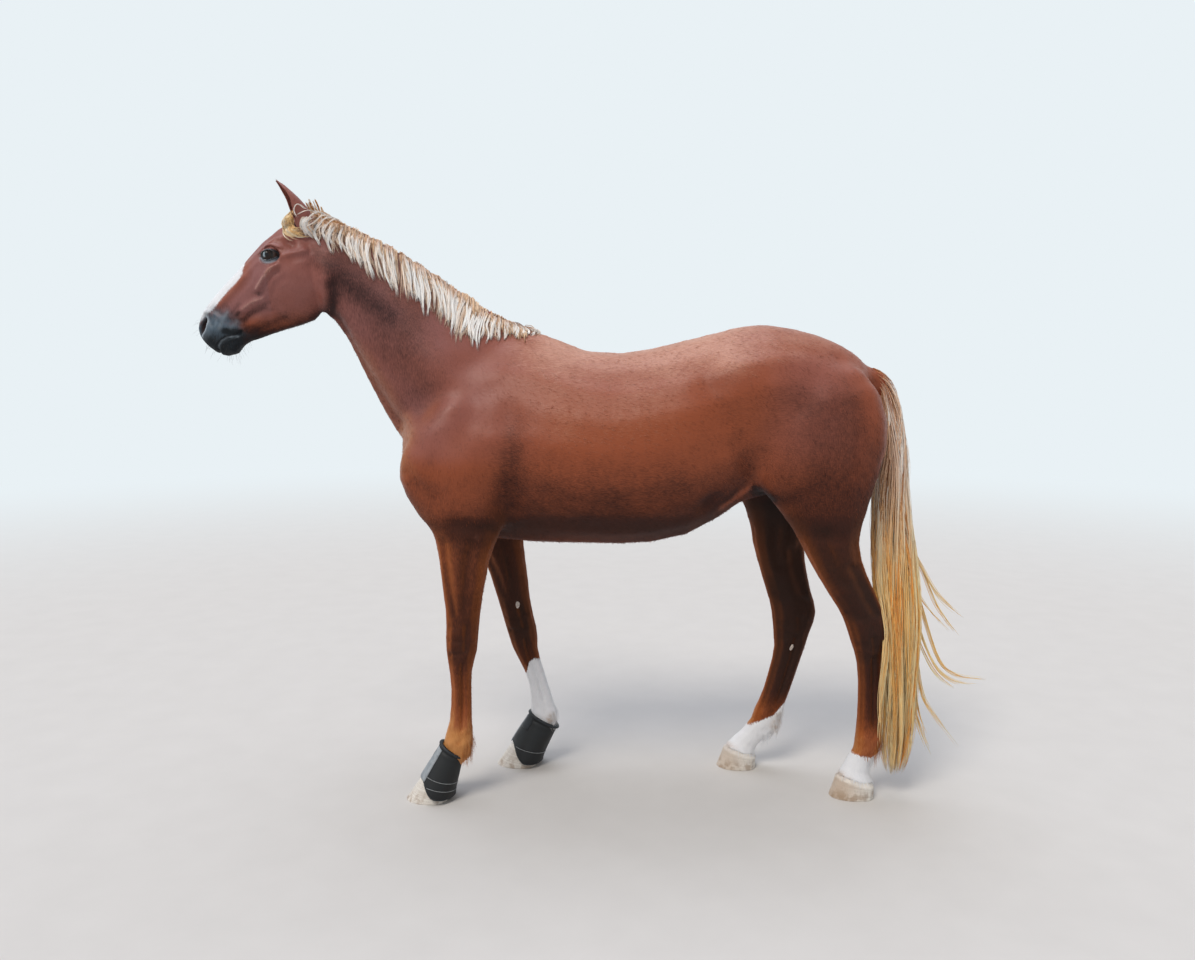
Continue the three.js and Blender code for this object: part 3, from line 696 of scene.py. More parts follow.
# Soft lines of painted shade in creases, hollows and under folds, or of painted highlight along
# ridges and folds where the last number is below 0.
SHADE_AND_HIGHLIGHT_LINES = [
    ([(-934, 1836), (-924, 1800), (-946, 1750)], 22, 0.5),
    ([(-1173, 1793), (-1215, 1776), (-1250, 1755)], 8, -0.24),  # folds over the mouth
    ([(-1262, 1748), (-1272, 1738)], 8, 0.5),
    ([(-1168, 1766), (-1200, 1752), (-1232, 1736), (-1252, 1716)], 9, 0.33),
    ([(-1150, 1762), (-1190, 1738), (-1225, 1716)], 8, -0.17),
    ([(-1100, 1735), (-1165, 1710), (-1215, 1690)], 11, 0.28),
    ([(-1318, 1681), (-1280, 1677)], 11, 0.9),
    ([(-1210, 1664), (-1115, 1686), (-1030, 1710), (-985, 1738)], 26, 0.75),  # under the jaw
    ([(-1184, 1806)], 12, 0.45),
    ([(-1129, 1896), (-1160, 1862), (-1190, 1826)], 7, -0.27),
    ([(-940, 1920), (-800, 1790), (-680, 1680)], 100, 0.2),  # the neck under the mane
    ([(-985, 1935), (-860, 1830), (-720, 1730)], 34, 0.3),
    ([(-480, 1010), (-410, 990), (-320, 972)], 50, 0.25),
    ([(-275, 1354), (-300, 1214), (-342, 1060)], 54, 0.34),  # behind the shoulder
    ([(366, 1075), (398, 1108)], 34, 0.15),
    ([(395, 1040), (440, 1080), (500, 1140)], 14, 0.2),
    ([(432, 1062), (480, 1092), (532, 1130)], 11, -0.5),  # fold of the flank
    ([(455, 1350), (475, 1268), (500, 1190)], 40, 0.15),
    ([(500, 1120), (548, 1150), (560, 1190)], 16, -0.3),
    ([(547, 1134), (570, 1112), (602, 1098)], 15, 0.9),
]
# Earth on the white hair: x, height and how much.
SOILED = ((716, 198, 0.8), (688, 172, 0.4), (1020, 186, 0.5), (-182, 190, 0.7))


def spot(p, x, z, wide, tall):
    return bell(p[:, 0] - x, wide) * bell(p[:, 2] - z, tall)


def markings(p, n):
    """Where the coat is white, black-skinned, darker or warmer, and where it has painted shade,
    painted highlight, painted rim light and painted sheen, at points with normals n.
    """
    x, y, z = p.T
    q = side_view(p)
    ahead, aside = np.abs(n[:, 0]), np.abs(n[:, 1])
    head, fore, hind = x < -1150, x < 0, x > 0
    blaze, muzzle = inside_by(q, BLAZE), inside_by(q, MUZZLE)
    half_width = 42 + 50 * ease(1915, 1830, z)
    white = np.where(head, np.minimum(blaze, half_width - np.abs(y)), -60.0)
    for leg, edge in SOCKS.items():
        sock = np.interp(x, *np.transpose(edge)) - z
        white = np.where(at_node(p, leg, 12, 12, 560), sock, white)

    from_opening = np.where((from_eye(p) < 60) & (np.abs(y) > 40), -inside_by(q, OPENING), 99.0)
    dark = np.where(head, ease(-60, 44, muzzle), 0.0)
    dark = np.maximum(dark, 0.95 * ease(7, 1.5, from_opening))

    # painted shade and highlight: the tone falls from the back to the belly and down the legs, with
    # faces turned up lighter and faces turned down darker
    under = ease(-0.1, 1.0, -n[:, 2])
    trunk = ease(850, 900, z) * ease(-760, -640, x) * ease(1010, 960, x)
    low_side = ease(1440, 930, z) + 0.7 * ease(1060, 960, z) * ease(0.1, -0.5, n[:, 2])
    depth = 0.42 + 0.34 * ease(-420, -180, x)
    tone = -trunk * (depth * low_side + 0.2 * under) - 0.2 * under * (1 - trunk)
    top = ease(1380, 1680, z) * ease(-420, -100, x) * (1 - 0.55 * ease(350, 640, x))
    tone += 0.8 * top * ease(-0.1, 0.85, n[:, 2])
    tone -= 0.22 * ease(560, 760, x) * ease(1560, 1250, z) * trunk
    tone -= 0.44 * spot(p, 750, 1450, 210, 130)
    tone += 0.17 * spot(p, -60, 1330, 260, 90)
    # painted shade low on the barrel, behind the elbow and under the belly
    tone -= 0.5 * ease(1060, 1000, z) * trunk
    legs = ease(1150, 860, z)
    # painted light on the legs: the sides are darker, the faces turned to the front lighter
    leg_tone = np.where(fore, np.interp(z, *FORE_TONE) * (0.6 + 0.4 * ease(-0.2, 0.6, aside)),
                        np.interp(z, *HIND_TONE) * (0.4 + 0.6 * ease(0.1, 0.85, aside)))
    tone = tone * (1 - legs) + legs * (leg_tone - 0.2 * n[:, 0] * (1 - 0.7 * hind))
    # painted shade on the upper neck under the mane
    tone -= 0.36 * ease(-990, -900, x) * ease(-440, -640, x) * ease(1250, 1420, z)
    tone -= 0.8 * head * ease(1700, 1636, z) + 0.45 * bell(from_opening, 9)
    tone -= 0.4 * bell(np.where(head, muzzle, -99.0) + 16, 26)
    tone -= strokes(q, SHADE_AND_HIGHLIGHT_LINES)
    # painted shade on the inner faces of the legs, deepest between the hind legs
    inner = ease(0.1, 0.7, n[:, 1] * -np.sign(y)) * ease(1150, 1000, z)
    tone -= inner * (0.35 + 0.6 * hind * ease(850, 950, z))

    # the lower ends of the legs are a warmer tan; the breast and the fronts and backs of the legs
    # get a painted rim light in the same tan, and the breast a painted highlight
    breast_rim_light = ease(-0.25, -1.0, n[:, 0]) * ease(1100, 1250, z) * ease(1740, 1560, z) * (x < -540)
    tone += 0.15 * breast_rim_light
    front = ease(0.1, 0.8, ahead)
    tan_and_rim_light = legs * (ease(0.25, 0.9, ahead) + 0.2) * (1 - 0.3 * hind * ease(860, 700, z))
    for more in (0.55 * breast_rim_light,
                 legs * fore * ease(560, 420, z) * (0.35 + 0.65 * front),
                 legs * fore * ease(300, 250, z),
                 legs * hind * ease(340, 240, z) * (0.4 + 0.6 * front)):
        tan_and_rim_light = np.maximum(tan_and_rim_light, more)

    soil = sum(amount * spot(p, at_x, at_z, 24, 22) for at_x, at_z, amount in SOILED)
    soil += 0.7 * ease(104, 76, z) * hind * ease(930, 880, x + 370 * (x < 700))

    # painted sheen: the head, neck, shoulder, back and haunch get a cool painted reflection, the
    # barrel and legs do not
    painted_sheen = ease(1080, 1430, z) * ease(-60, -600, x)
    painted_sheen *= ease(1690, 1760, z + 500 * ease(-1000, -900, x)) * (1 + 0.25 * head)
    painted_sheen *= 1 - 0.75 * head * bell(blaze, 26)
    haunch = ease(500, 700, x) * ease(1000, 780, x) * ease(1150, 1330, z) * ease(1680, 1540, z)
    painted_sheen = np.maximum(np.maximum(painted_sheen, 0.55 * top), 0.6 * haunch)
    return {"white": white / 10, "dark": dark, "tone": tone, "tan_and_rim_light": tan_and_rim_light, "soil": soil,
            "painted_sheen": painted_sheen}


marks = markings(p, facing)
# painted shade in the hollows and painted highlight on the ridges of the coat
gain = 0.008 + 0.02 * ease(960, 680, p[:, 2]) + 0.016 * ease(-1000, -1150, p[:, 0])
marks["tone"] += np.clip(relief * gain, -0.28, 0.2) * (1 - ease(0.0, 0.4, marks["dark"]))
# the pits of the nostrils and the parting of the lips are black, darkened further with painted
# shade, and their rims are pale with painted highlight
marks["dark"] = np.maximum(marks["dark"], ease(1.25, 0.9, nostril_q))
marks["tone"] -= 0.9 * bell(mouth_d, 4) + 1.3 * ease(1.05, 0.75, nostril_q)
# Soft lines of painted highlight on the rims of the nostrils and lips and the folds of the muzzle,
# with their reach and strength.
PALE_LINES = [
    (NOSTRIL_RIM, 16, 0.12),
    (LIP_RIM, 2.8, 0.5),
    ([(-1299, 1659)], 4, 0.35),  # corner of the lips
    ([(-1335, 1690), (-1322, 1718), (-1308, 1746)], 7, 0.3),
    ([(-1352, 1700), (-1345, 1722)], 5, 0.16),
    ([(-1297, 1692), (-1276, 1713)], 7, 0.26),
]
behind_it = ease(3, -4, behind_it)
pale = (1.1 * bell(nostril_q - 1.16, 0.17) * behind_it + strokes(q, PALE_LINES)) * on_head
opening_d = -inside_by(side_view(p), OPENING)
beside = np.abs(p[:, 1]) > 40
# painted highlight along the lower lid
lower_lid = bell(opening_d - 6, 5) * ease(2, -6, p[:, 2] - EYE_AT[2] + 4)
marks["pale"] = pale + 0.85 * lower_lid * beside * (from_eye(p) < 50)
# no tufts grow in the nostrils, between the lips or on the edges of the lids
lips = on_head & (distance_to_line(q, LIP_RIM) < 4)
pit = (nostril_q < 1.4 + 0.6 * behind_it) | lips | (mouth_d < 5)
pit |= (from_eye(p) < 40) & (opening_d < 6) & beside
# 0 where the hair lies to the back, 1 where it lies downwards
lie_down = np.maximum(ease(1150, 950, p[:, 2]), ease(-330, -620, p[:, 0]))
lie_down = np.maximum(lie_down, 0.6 * ease(560, 800, p[:, 0]))
set_values(skin, lie=lie_down, lining=ease(1.08, 0.8, nostril_q), **marks)
marks["pit"] = pit * 1.0


# ------------------------------------------------------------------ materials
def colour(code):
    """An sRGB hex value as linear red, green, blue and alpha."""
    parts = [int(code[i : i + 2], 16) / 255 for i in (1, 3, 5)]
    return [c / 12.92 if c <= 0.04045 else ((c + 0.055) / 1.055) ** 2.4 for c in parts] + [1]


# Each kind of node used here: its type, its settings, which inputs are given and in what
# order, and the output that is used.
KINDS = {
    "mesh value": ("Attribute", {}, (), "Fac"),
    "place": ("TexCoord", {}, (), "Object"),
    "placed": ("Mapping", {}, ("Vector", "Scale", "Rotation"), 0),
    "point": ("CombineXYZ", {}, (0, 1, 2), 0),
    "height": ("SeparateXYZ", {}, (0,), 2),
    "length": ("VectorMath", {"operation": "LENGTH"}, (0,), "Value"),
    "noise": ("TexNoise", {}, ("Vector", "Scale", "Detail"), "Fac"),
    "sum": ("Math", {"operation": "ADD"}, (0, 1), 0),
    "product": ("Math", {"operation": "MULTIPLY"}, (0, 1), 0),
    "greater": ("Math", {"operation": "MAXIMUM"}, (0, 1), 0),
    "span": ("MapRange", {"interpolation_type": "SMOOTHSTEP"}, (0, 1, 2, 3, 4), 0),
    "between": ("Mix", {"data_type": "FLOAT"}, (0, 2, 3), 0),
    "mix": ("Mix", {"data_type": "RGBA"}, (0, 6, 7), 2),
    "bump": ("Bump", {}, ("Height", "Distance", "Strength", "Normal"), 0),
    "camera ray": ("LightPath", {}, (), "Is Camera Ray"),
    "glossy ray": ("LightPath", {}, (), "Is Glossy Ray"),
    "passing ray": ("LightPath", {}, (), "Is Transmission Ray"),
    "glow": ("Emission", {}, ("Color", "Strength"), 0),
    "backdrop": ("Background", {}, ("Color", "Strength"), 0),
    "either": ("MixShader", {}, (0, 1, 2), 0),
}


class Nodes:
    """A node tree. An input is given a number, a colour as hex, the name of a value on the
    mesh, or another node's output."""

    def __init__(self, tree):
        self.tree = tree

    def add(self, kind, *given, **settings):
        """Adds one node of a kind with what its inputs are given, and returns its output."""
        made, always, inputs, output = KINDS[kind]
        node = self.tree.nodes.new("ShaderNode" + made)
        for key, setting in (always | settings).items():
            setattr(node, key, setting)
        for key, value in zip(inputs, given):
            self.put(node.inputs[key], value)
        return node.outputs[output]

    def put(self, socket, value):
        if isinstance(value, str):
            hex_code = value.startswith("#")
            value = colour(value) if hex_code else self.add("mesh value", attribute_name=value)
        if isinstance(value, bpy.types.NodeSocket):
            self.tree.links.new(value, socket)
        else:
            socket.default_value = value

    def seen(self):
        """1 for the rays that show the backdrop itself, 0 for those that light the horse."""
        seen = self.add("greater", self.add("camera ray"), self.add("glossy ray"))
        return self.add("greater", seen, self.add("passing ray"))

    def step(self, value, low, high, a, b):
        """Turns from colour a to colour b where value rises from low to high."""
        return self.add("mix", self.add("span", value, low, high), a, b)

    def grain(self, scale, stretch=(1, 1, 1), turn=(0, 0, 0), detail=3, place=None):
        """Noise of a scale in spots to the metre, stretched and turned to follow the hair."""
        place = self.add("placed", place or self.add("place"), stretch, turn)
        return self.add("noise", place, scale, detail)


class Paint(Nodes):
    def __init__(self, name, **shader):
        self.material = bpy.data.materials.new(name)
        self.material.use_nodes = True
        super().__init__(self.material.node_tree)
        self.shader = self.tree.nodes["Principled BSDF"]
        for key, value in shader.items():
            self.put(self.shader.inputs[key.replace("_", " ")], value)

    def finish(self, base=None, normal=None, roughness=None):
        for key, value in (("Base Color", base), ("Normal", normal), ("Roughness", roughness)):
            if value is not None:
                self.put(self.shader.inputs[key], value)
        return self.material


def coat_colour(paint, streak):
    """Chestnut hair with its white and black-skinned parts, from the values on the mesh."""
    large, mottle = paint.grain(5.0, detail=2), paint.grain(38.0, detail=4)
    tone = "tone"
    for pattern, low, amount in ((large, 0.3, 0.08), (mottle, 0.25, 0.05), (streak, 0.25, 0.16)):
        tone = paint.add("sum", tone, paint.add("span", pattern, low, 1 - low, -amount, amount))
    # the tone carries painted shade and painted highlight as well as the coat's own darker and
    # paler parts
    base = paint.step(tone, -1.0, 0.0, "#300d03", "#944a2a")
    base = paint.step(tone, 0.0, 1.0, base, "#c88d6c")
    base = paint.step(tone, -1.6, -0.9, "#140502", base)
    # painted sheen: a mauve veil of painted reflection, darker over the dark coat, mixed in where
    # the mesh asks for it
    sheen = paint.step(tone, -1.0, 0.1, "#2d1a1c", "#8e6364")
    sheen = paint.step(tone, 0.1, 1.0, sheen, "#c29a92")
    painted_sheen = paint.add("product", "painted_sheen", paint.add("span", large, 0.3, 0.7, 0.4, 0.62))
    base = paint.add("mix", painted_sheen, base, sheen)
    # painted rim light in tan on the breast and the fronts and backs of the legs, with the real tan
    # of the lower legs
    tan_and_rim_light = paint.add("product", "tan_and_rim_light", paint.add("span", tone, -1.4, -0.1, 0.35, 1.0))
    tan = paint.step(tone, -0.5, 0.3, "#a4561c", "#cb8d50")
    base = paint.add("mix", paint.add("product", tan_and_rim_light, 0.85), base, tan)
    soil = paint.add("product", "soil", paint.add("span", mottle, 0.35, 0.65, 0.3, 1.2))
    white = paint.add("mix", soil, paint.add("mix", streak, "#e6e8ec", "#fafafa"), "#b08a5c")
    ragged = paint.add("sum", "white", paint.add("span", streak, 0.2, 0.8, -0.5, 0.5))
    base = paint.step(ragged, -0.3, 0.3, base, white)
    black = paint.step(tone, -0.8, 0.15, "#0b1217", "#596a78")
    black = paint.add("mix", paint.add("span", mottle, 0.3, 0.75, 0.0, 0.5), black, "#22272d")
    edge = paint.add("sum", "dark", paint.add("span", mottle, 0.3, 0.7, -0.12, 0.12))
    return paint.step(edge, 0.05, 0.95, base, black)


def coat_roughness(paint, streak):
    """The coat shines where it is clean and pale, and is dull on the legs and underneath."""
    rough = paint.add("span", streak, 0.2, 0.8, 0.45, 0.36)
    return paint.add("sum", rough, paint.add("span", "tone", -0.9, -0.1, 0.3, 0.0))


def coat_paint(name):
    return Paint(name, Roughness=0.4, Specular_IOR_Level=0.28, Sheen_Weight=0.02,
                 Sheen_Roughness=0.4, Sheen_Tint="#e6dcf0")


# Short summer hair over skin. Each hair is 0.06 mm wide, too fine to show, so the streaks
# are locks about 2 mm wide and 15 mm long that follow the lie of the coat.
def coat_material():
    paint = coat_paint("horse_coat_short_chestnut_hair")
    back = paint.grain(430, (0.13, 1, 1), (0, -0.35, 0))
    down = paint.grain(430, (1, 1, 0.13), (0, 0.12, 0))
    streak = paint.add("between", "lie", back, down)
    # painted highlight in pale blue-grey on the rims of the nostrils and lips, the folds of the
    # muzzle and the lower lids
    base = paint.add("mix", "pale", coat_colour(paint, streak), "#a2adb6")
    base = paint.add("mix", "lining", base, "#2a1210")
    hair = paint.add("bump", streak, 0.0006, 0.55)
    normal = paint.add("bump", paint.grain(95, detail=5), 0.0012, 0.25, hair)
    return paint.finish(base, normal, coat_roughness(paint, streak))


def wear(piece, material, slot, *nodes):
    piece.data.materials.clear()
    piece.data.materials.append(material)
    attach(piece, "root")
    if nodes:
        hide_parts(*nodes)
    return piece


wear(skin, coat_material(), "coat", *FLESH, "ear_near", "ear_far")


# ------------------------------------------------------------------ hair in locks
# Where a hair's root lies on an unwrap of the skin's own shape, for the map OFBake.
PATCH, UNWRAP_GRAIN = 0.003, 0.022
unwrap = bpy.data.objects.new("unwrap", skin.data.copy())
SCENE.collection.objects.link(unwrap)
remesh(unwrap, UNWRAP_GRAIN)
edit_all(unwrap, bpy.ops.uv.smart_project, angle_limit=1.15, island_margin=0.002)
unwrap_points = coords(unwrap)
unwrap_faces = [tuple(f.vertices) for f in unwrap.data.polygons]
unwrap_starts = [f.loop_start for f in unwrap.data.polygons]
unwrap_uv = np.empty(len(unwrap.data.loops) * 2, np.float32)
unwrap.data.uv_layers.active.data.foreach_get("uv", unwrap_uv)
unwrap_uv = unwrap_uv.reshape(-1, 2)
unwrap_tree = tree_of(unwrap)
bpy.data.objects.remove(unwrap)


def on_unwrap(points):
    places = np.empty((len(points), 2))
    for i, at in enumerate(world(points)):
        hit, _, face, _ = unwrap_tree.find_nearest(Vector(at))
        corners = unwrap_faces[face]
        gaps = np.linalg.norm(unwrap_points[list(corners)] - np.array(hit), axis=1)
        near = 1 / (gaps + 1e-5)
        start = unwrap_starts[face]
        places[i] = near @ unwrap_uv[start : start + len(corners)] / near.sum()
    return places


CORNERS = ((1.0, -0.35), (0.0, 0.65), (-1.0, -0.35))  # of a hair's section, in half widths


def hairs(name, paths, widths, outward, flat=1.0, smooth=True, **values):
    """Closed tapering hairs, each along its own row of points, in one mesh."""
    n, m, _ = paths.shape
    sides = len(CORNERS)
    along = unit(np.gradient(paths, axis=1))
    side = unit(np.cross(np.broadcast_to(outward, paths.shape), along))
    up = np.cross(along, side)
    half = 0.5 * np.broadcast_to(widths, (n, m))[:, :-1, None]
    rows = [paths[:, :-1] + half * (a * side[:, :-1] + flat * b * up[:, :-1]) for a, b in CORNERS]
    body = np.stack(rows, 2)  # hair, row, corner, xyz
    points = np.concatenate([body.reshape(n, -1, 3), paths[:, -1:]], 1)
    each = (m - 1) * sides + 1
    k = np.arange(sides)
    last = (m - 2) * sides
    tips = np.stack([last + k, last + (k + 1) % sides, np.full(sides, each - 1)], 1)
    first = np.arange(n)[:, None, None] * each
    face_sets = [(first + faces).reshape(-1, faces.shape[1])
                 for faces in (grid(m - 1, sides), tips, k[None, ::-1])]
    obj = new_mesh(name, world(points.reshape(-1, 3)), *face_sets)
    if not smooth:
        obj.data.polygons.foreach_set("use_smooth", np.zeros(len(obj.data.polygons), bool))
    corner = np.concatenate([np.tile(np.linspace(0, 1, sides), m - 1), [0.5]])
    reach = np.concatenate([np.repeat(np.linspace(0, 1, m)[:-1], sides), [1.0]])
    uv = on_unwrap(paths[:, 0])[:, None] + PATCH * np.stack([corner, reach], 1)[None]
    index = np.empty(len(obj.data.loops), np.int32)
    obj.data.loops.foreach_get("vertex_index", index)
    spots = np.clip(uv.reshape(-1, 2)[index], 0, 1)
    layer = obj.data.uv_layers.new(name="OFBake")
    layer.data.foreach_set("uv", np.ascontiguousarray(spots, np.float32).ravel())
    values = {key: np.repeat(v, each) for key, v in values.items()}
    set_values(obj, along=np.tile(reach, n), **values)
    return obj


BESIDE, ABOVE = 700, 2600  # where rays start that look for the skin, clear of the horse


def side_of_skin(x, z):
    """Distance of the skin's near side from the middle plane at x and z."""
    hit, *_ = skin_tree.ray_cast(Vector(world([x, -BESIDE, z])), Vector((0, 1, 0)))
    return 0.0 if hit is None else -float(table(hit)[1])


def top_of_skin(x, y=0.0):
    hit, *_ = skin_tree.ray_cast(Vector(world([x, y, ABOVE])), Vector((0, 0, -1)))
    return float(table(hit)[2])


def taper(m, root, middle, tip, at=0.35):
    t = np.linspace(0, 1, m)
    return np.interp(t, [0, at, 0.75, 1], [root, middle, 0.8 * middle, tip])


def bunch(guides, counts, spread_out, close_in, jitter):
    """Hairs round each guide: apart by spread_out at the root, drawn together to the tip."""
    paths, owner = [], []
    for i, (guide, count) in enumerate(zip(guides, counts)):
        m = len(guide)
        t = np.linspace(0, 1, m)[:, None]
        along = unit(np.gradient(guide, axis=0))
        across = unit(np.cross(along, [0, 1, 0]) + 1e-6)
        for _ in range(count):
            a, b = draw.normal(0, 1, 2)
            reach = spread_out[i] * (1 - (1 - close_in) * t**0.8)
            wave = jitter * np.sin(2 * math.pi * (t * draw.uniform(0.6, 1.5) + draw.random()))
            end = int(round(m * draw.uniform(0.86, 1.0)))
            path = guide + across * (a * reach + wave * t) + 0.45 * b * reach * [0, 1, 0]
            if end < m:
                u = np.linspace(0, end - 1, m)
                path = np.stack([np.interp(u, np.arange(m), path[:, c]) for c in range(3)], 1)
            paths.append(path)
            owner.append(i)
    return np.array(paths), np.array(owner)


def bunched(name, locks, close_in, jitter, thick, vary, outward, blur=0.1):
    """A piece from locks that each have a guide, a number of hairs, a spread and a shade."""
    guides, counts, spreads, shades = zip(*locks)
    paths, owner = bunch(guides, counts, spreads, close_in, jitter)
    shade = np.clip(np.array(shades)[owner] + draw.normal(0, blur, len(owner)), 0, 1)
    width = taper(len(guides[0]), *thick) * draw.uniform(*vary, (len(paths), 1))
    return hairs(name, paths, width, outward, shade=shade)


def even_out(path):
    """Smooths how far a row of points is from the middle plane."""
    y = path[:, 1].copy()
    path[1:-1, 1] = 0.25 * y[:-2] + 0.5 * y[1:-1] + 0.25 * y[2:]
    return path


# The mane: its root line runs from behind the ears to the withers, and the locks fall to
# the near side. Columns: place on the root line, x, height of the tips, drift half way, drift.
MANE = np.array([
    [0.00, -1030, 2020, -34, -30],
    [0.06, -990, 2010, -34, -22],
    [0.14, -930, 1960, -30, -4],
    [0.25, -845, 1898, -22, 14],
    [0.38, -745, 1812, 2, 34],
    [0.50, -650, 1742, 16, 46],
    [0.62, -555, 1682, 12, 34],
    [0.74, -460, 1634, -6, -22],
    [0.82, -400, 1622, -16, -28],
    [0.90, -330, 1650, 6, 8],
    [1.00, -252, 1664, 26, 44],
])
MANE_ROWS = 12


def mane_lock(place, lift, offset, long, sway, bow, start=0.0):
    """A lock from a place on the root line, over the crest and down the near side."""
    x0, tip, half_way, drift = (np.interp(place, MANE[:, 0], MANE[:, c]) for c in (1, 2, 3, 4))
    t = np.linspace(0, 1, MANE_ROWS)
    top = top_of_skin(x0)
    curl = draw.normal(0, 3.2) * np.sin(2 * math.pi * (t * draw.uniform(0.9, 1.5) + draw.random()))
    x = x0 + curl * ease(0.1, 0.5, t) + (drift + sway) * t**1.4
    x += (half_way + bow) * np.sin(math.pi * t**0.9) * 0.9
    fall = (top - tip) * long * (np.maximum(t - 0.05, 0) / 0.95) ** 1.08
    z = top - 8 * ease(0.1, 0, t) + lift * np.sin(math.pi * np.minimum(t / 0.26, 1)) - fall
    out = np.array([side_of_skin(*at) for at in zip(x, z)]) + 2 + offset * (1 - 0.6 * t)
    over = ease(0, 0.22, t)
    return even_out(np.column_stack([x, start * (1 - over) - out * over, z]))


# Columns: locks, rise over the crest, distance from the skin, length, darkest, lightest,
# thickness, hairs in a lock.
MANE_LAYERS = (
    # the inner layer is darkest, as painted shade in the gaps between the outer locks
    (150, 2.0, 1.0, 0.94, 0.0, 0.35, 4.6, 5),
    (84, 4.0, 5.5, 0.98, 0.35, 0.75, 2.8, 8),
    (72, 6.0, 10.5, 1.0, 0.75, 1.0, 2.5, 13),
)
# Single locks that reach lower than the rest: place and length.
LONG_LOCKS = ((0.815, 1.02), (0.822, 1.12), (0.83, 1.06), (0.5, 1.08), (0.3, 1.1), (0.66, 1.1))
locks = []
for count, lift, offset, long, dark, light, thick, each in MANE_LAYERS:
    for k in range(count):
        place = (k + draw.uniform(-0.2, 1.2)) / count
        guide = mane_lock(
            float(np.clip(place, 0.075, 1)), lift * draw.uniform(0.6, 1.2),
            offset * draw.uniform(0.6, 1.15), long * draw.uniform(0.72, 1.06),
            draw.normal(0, 11), draw.normal(0, 8), draw.uniform(-5, 10))
        locks.append((guide, each, thick * draw.uniform(0.75, 1.3), draw.uniform(dark, light)))
for place, long in LONG_LOCKS:
    locks.append((mane_lock(place, 7, 12, long, draw.normal(0, 4), 0), 8, 2.2, 0.95))
mane = bunched("mane_locks", locks, 0.55, 2.4, (1.9, 2.8, 0.4), (0.65, 1.25), [0, -1, 0.25])

# short golden hairs close along the crest
locks = []
for k in range(340):
    place = draw.uniform(0.05, 0.99)
    x0 = np.interp(place, MANE[:, 0], MANE[:, 1])
    high = draw.uniform(2.0, 4.5) + 7 * math.exp(-(((place - 0.76) / 0.03) ** 2))
    y0, fall = draw.uniform(4, 14), draw.uniform(20, 62)
    line = [(x0, y0, top_of_skin(x0, y0) - 3), (x0 + 5, y0 - 8, top_of_skin(x0 + 5) + high)]
    for step in (0.5, 1.0):
        x1, z1 = x0 + 5 + 9 * step, top_of_skin(x0 + 12) + 2 - fall * step
        line.append((x1, -(side_of_skin(x1, z1) + 5 + high * 0.6), z1))
    locks.append((curve_through(line, 8), 3, 2.6, draw.uniform(0.0, 0.6)))
crest = bunched("mane_crest_hairs", locks, 0.4, 1.0, (1.7, 2.4, 0.4), (0.65, 1.25), [0, -1, 0.6])

# The forelock comes forward between the ears and is swept round to the near side.
OUTER = [(-1040, -6, 2096), (-1074, -22, 2094), (-1096, -40, 2076), (-1103, -54, 2050),
         (-1092, -66, 2026), (-1060, -72, 2012), (-1006, -80, 2018)]
INNER = [(-1036, -10, 2096), (-1058, -28, 2092), (-1072, -46, 2072), (-1078, -58, 2054),
         (-1072, -66, 2038), (-1052, -72, 2026), (-1018, -80, 2026)]
FORELOCK_ROWS = 18
locks = []
t = np.linspace(0, 1, FORELOCK_ROWS)
for k in range(64):
    out = draw.uniform(0.0, 1.0) ** 0.8 if k % 4 else draw.uniform(-0.1, 0.5)
    bend = curve_through(np.array(INNER) * (1 - out) + np.array(OUTER) * out, FORELOCK_ROWS)
    end = draw.uniform(0.8, 1.0)
    bend = np.stack([np.interp(t * end, t, bend[:, c]) for c in range(3)], 1)
    bend[:, 0] += draw.normal(0, 2) + draw.normal(0, 9) * t
    bend[:, 2] += draw.normal(0, 2) + draw.normal(0, 9) * t**2
    bend[:, 2] += draw.uniform(-5, 4) * np.sin(math.pi * t)
    layer = draw.uniform(1, 11)
    for row in bend[3:]:
        y = side_of_skin(row[0], row[2])
        if y > 8:
            row[1] = -(y + layer)
    # strands on the inside of the curl are darker, as painted shade
    locks.append((even_out(bend), 5, draw.uniform(1.8, 3.0),
                  0.15 + 0.8 * out * draw.uniform(0.6, 1.0)))
outward = unit(np.array([-0.4, -1, 0.3]))
forelock = bunched("forelock_locks", locks, 0.45, 1.4, (2.0, 2.8, 0.5), (0.7, 1.2), outward)

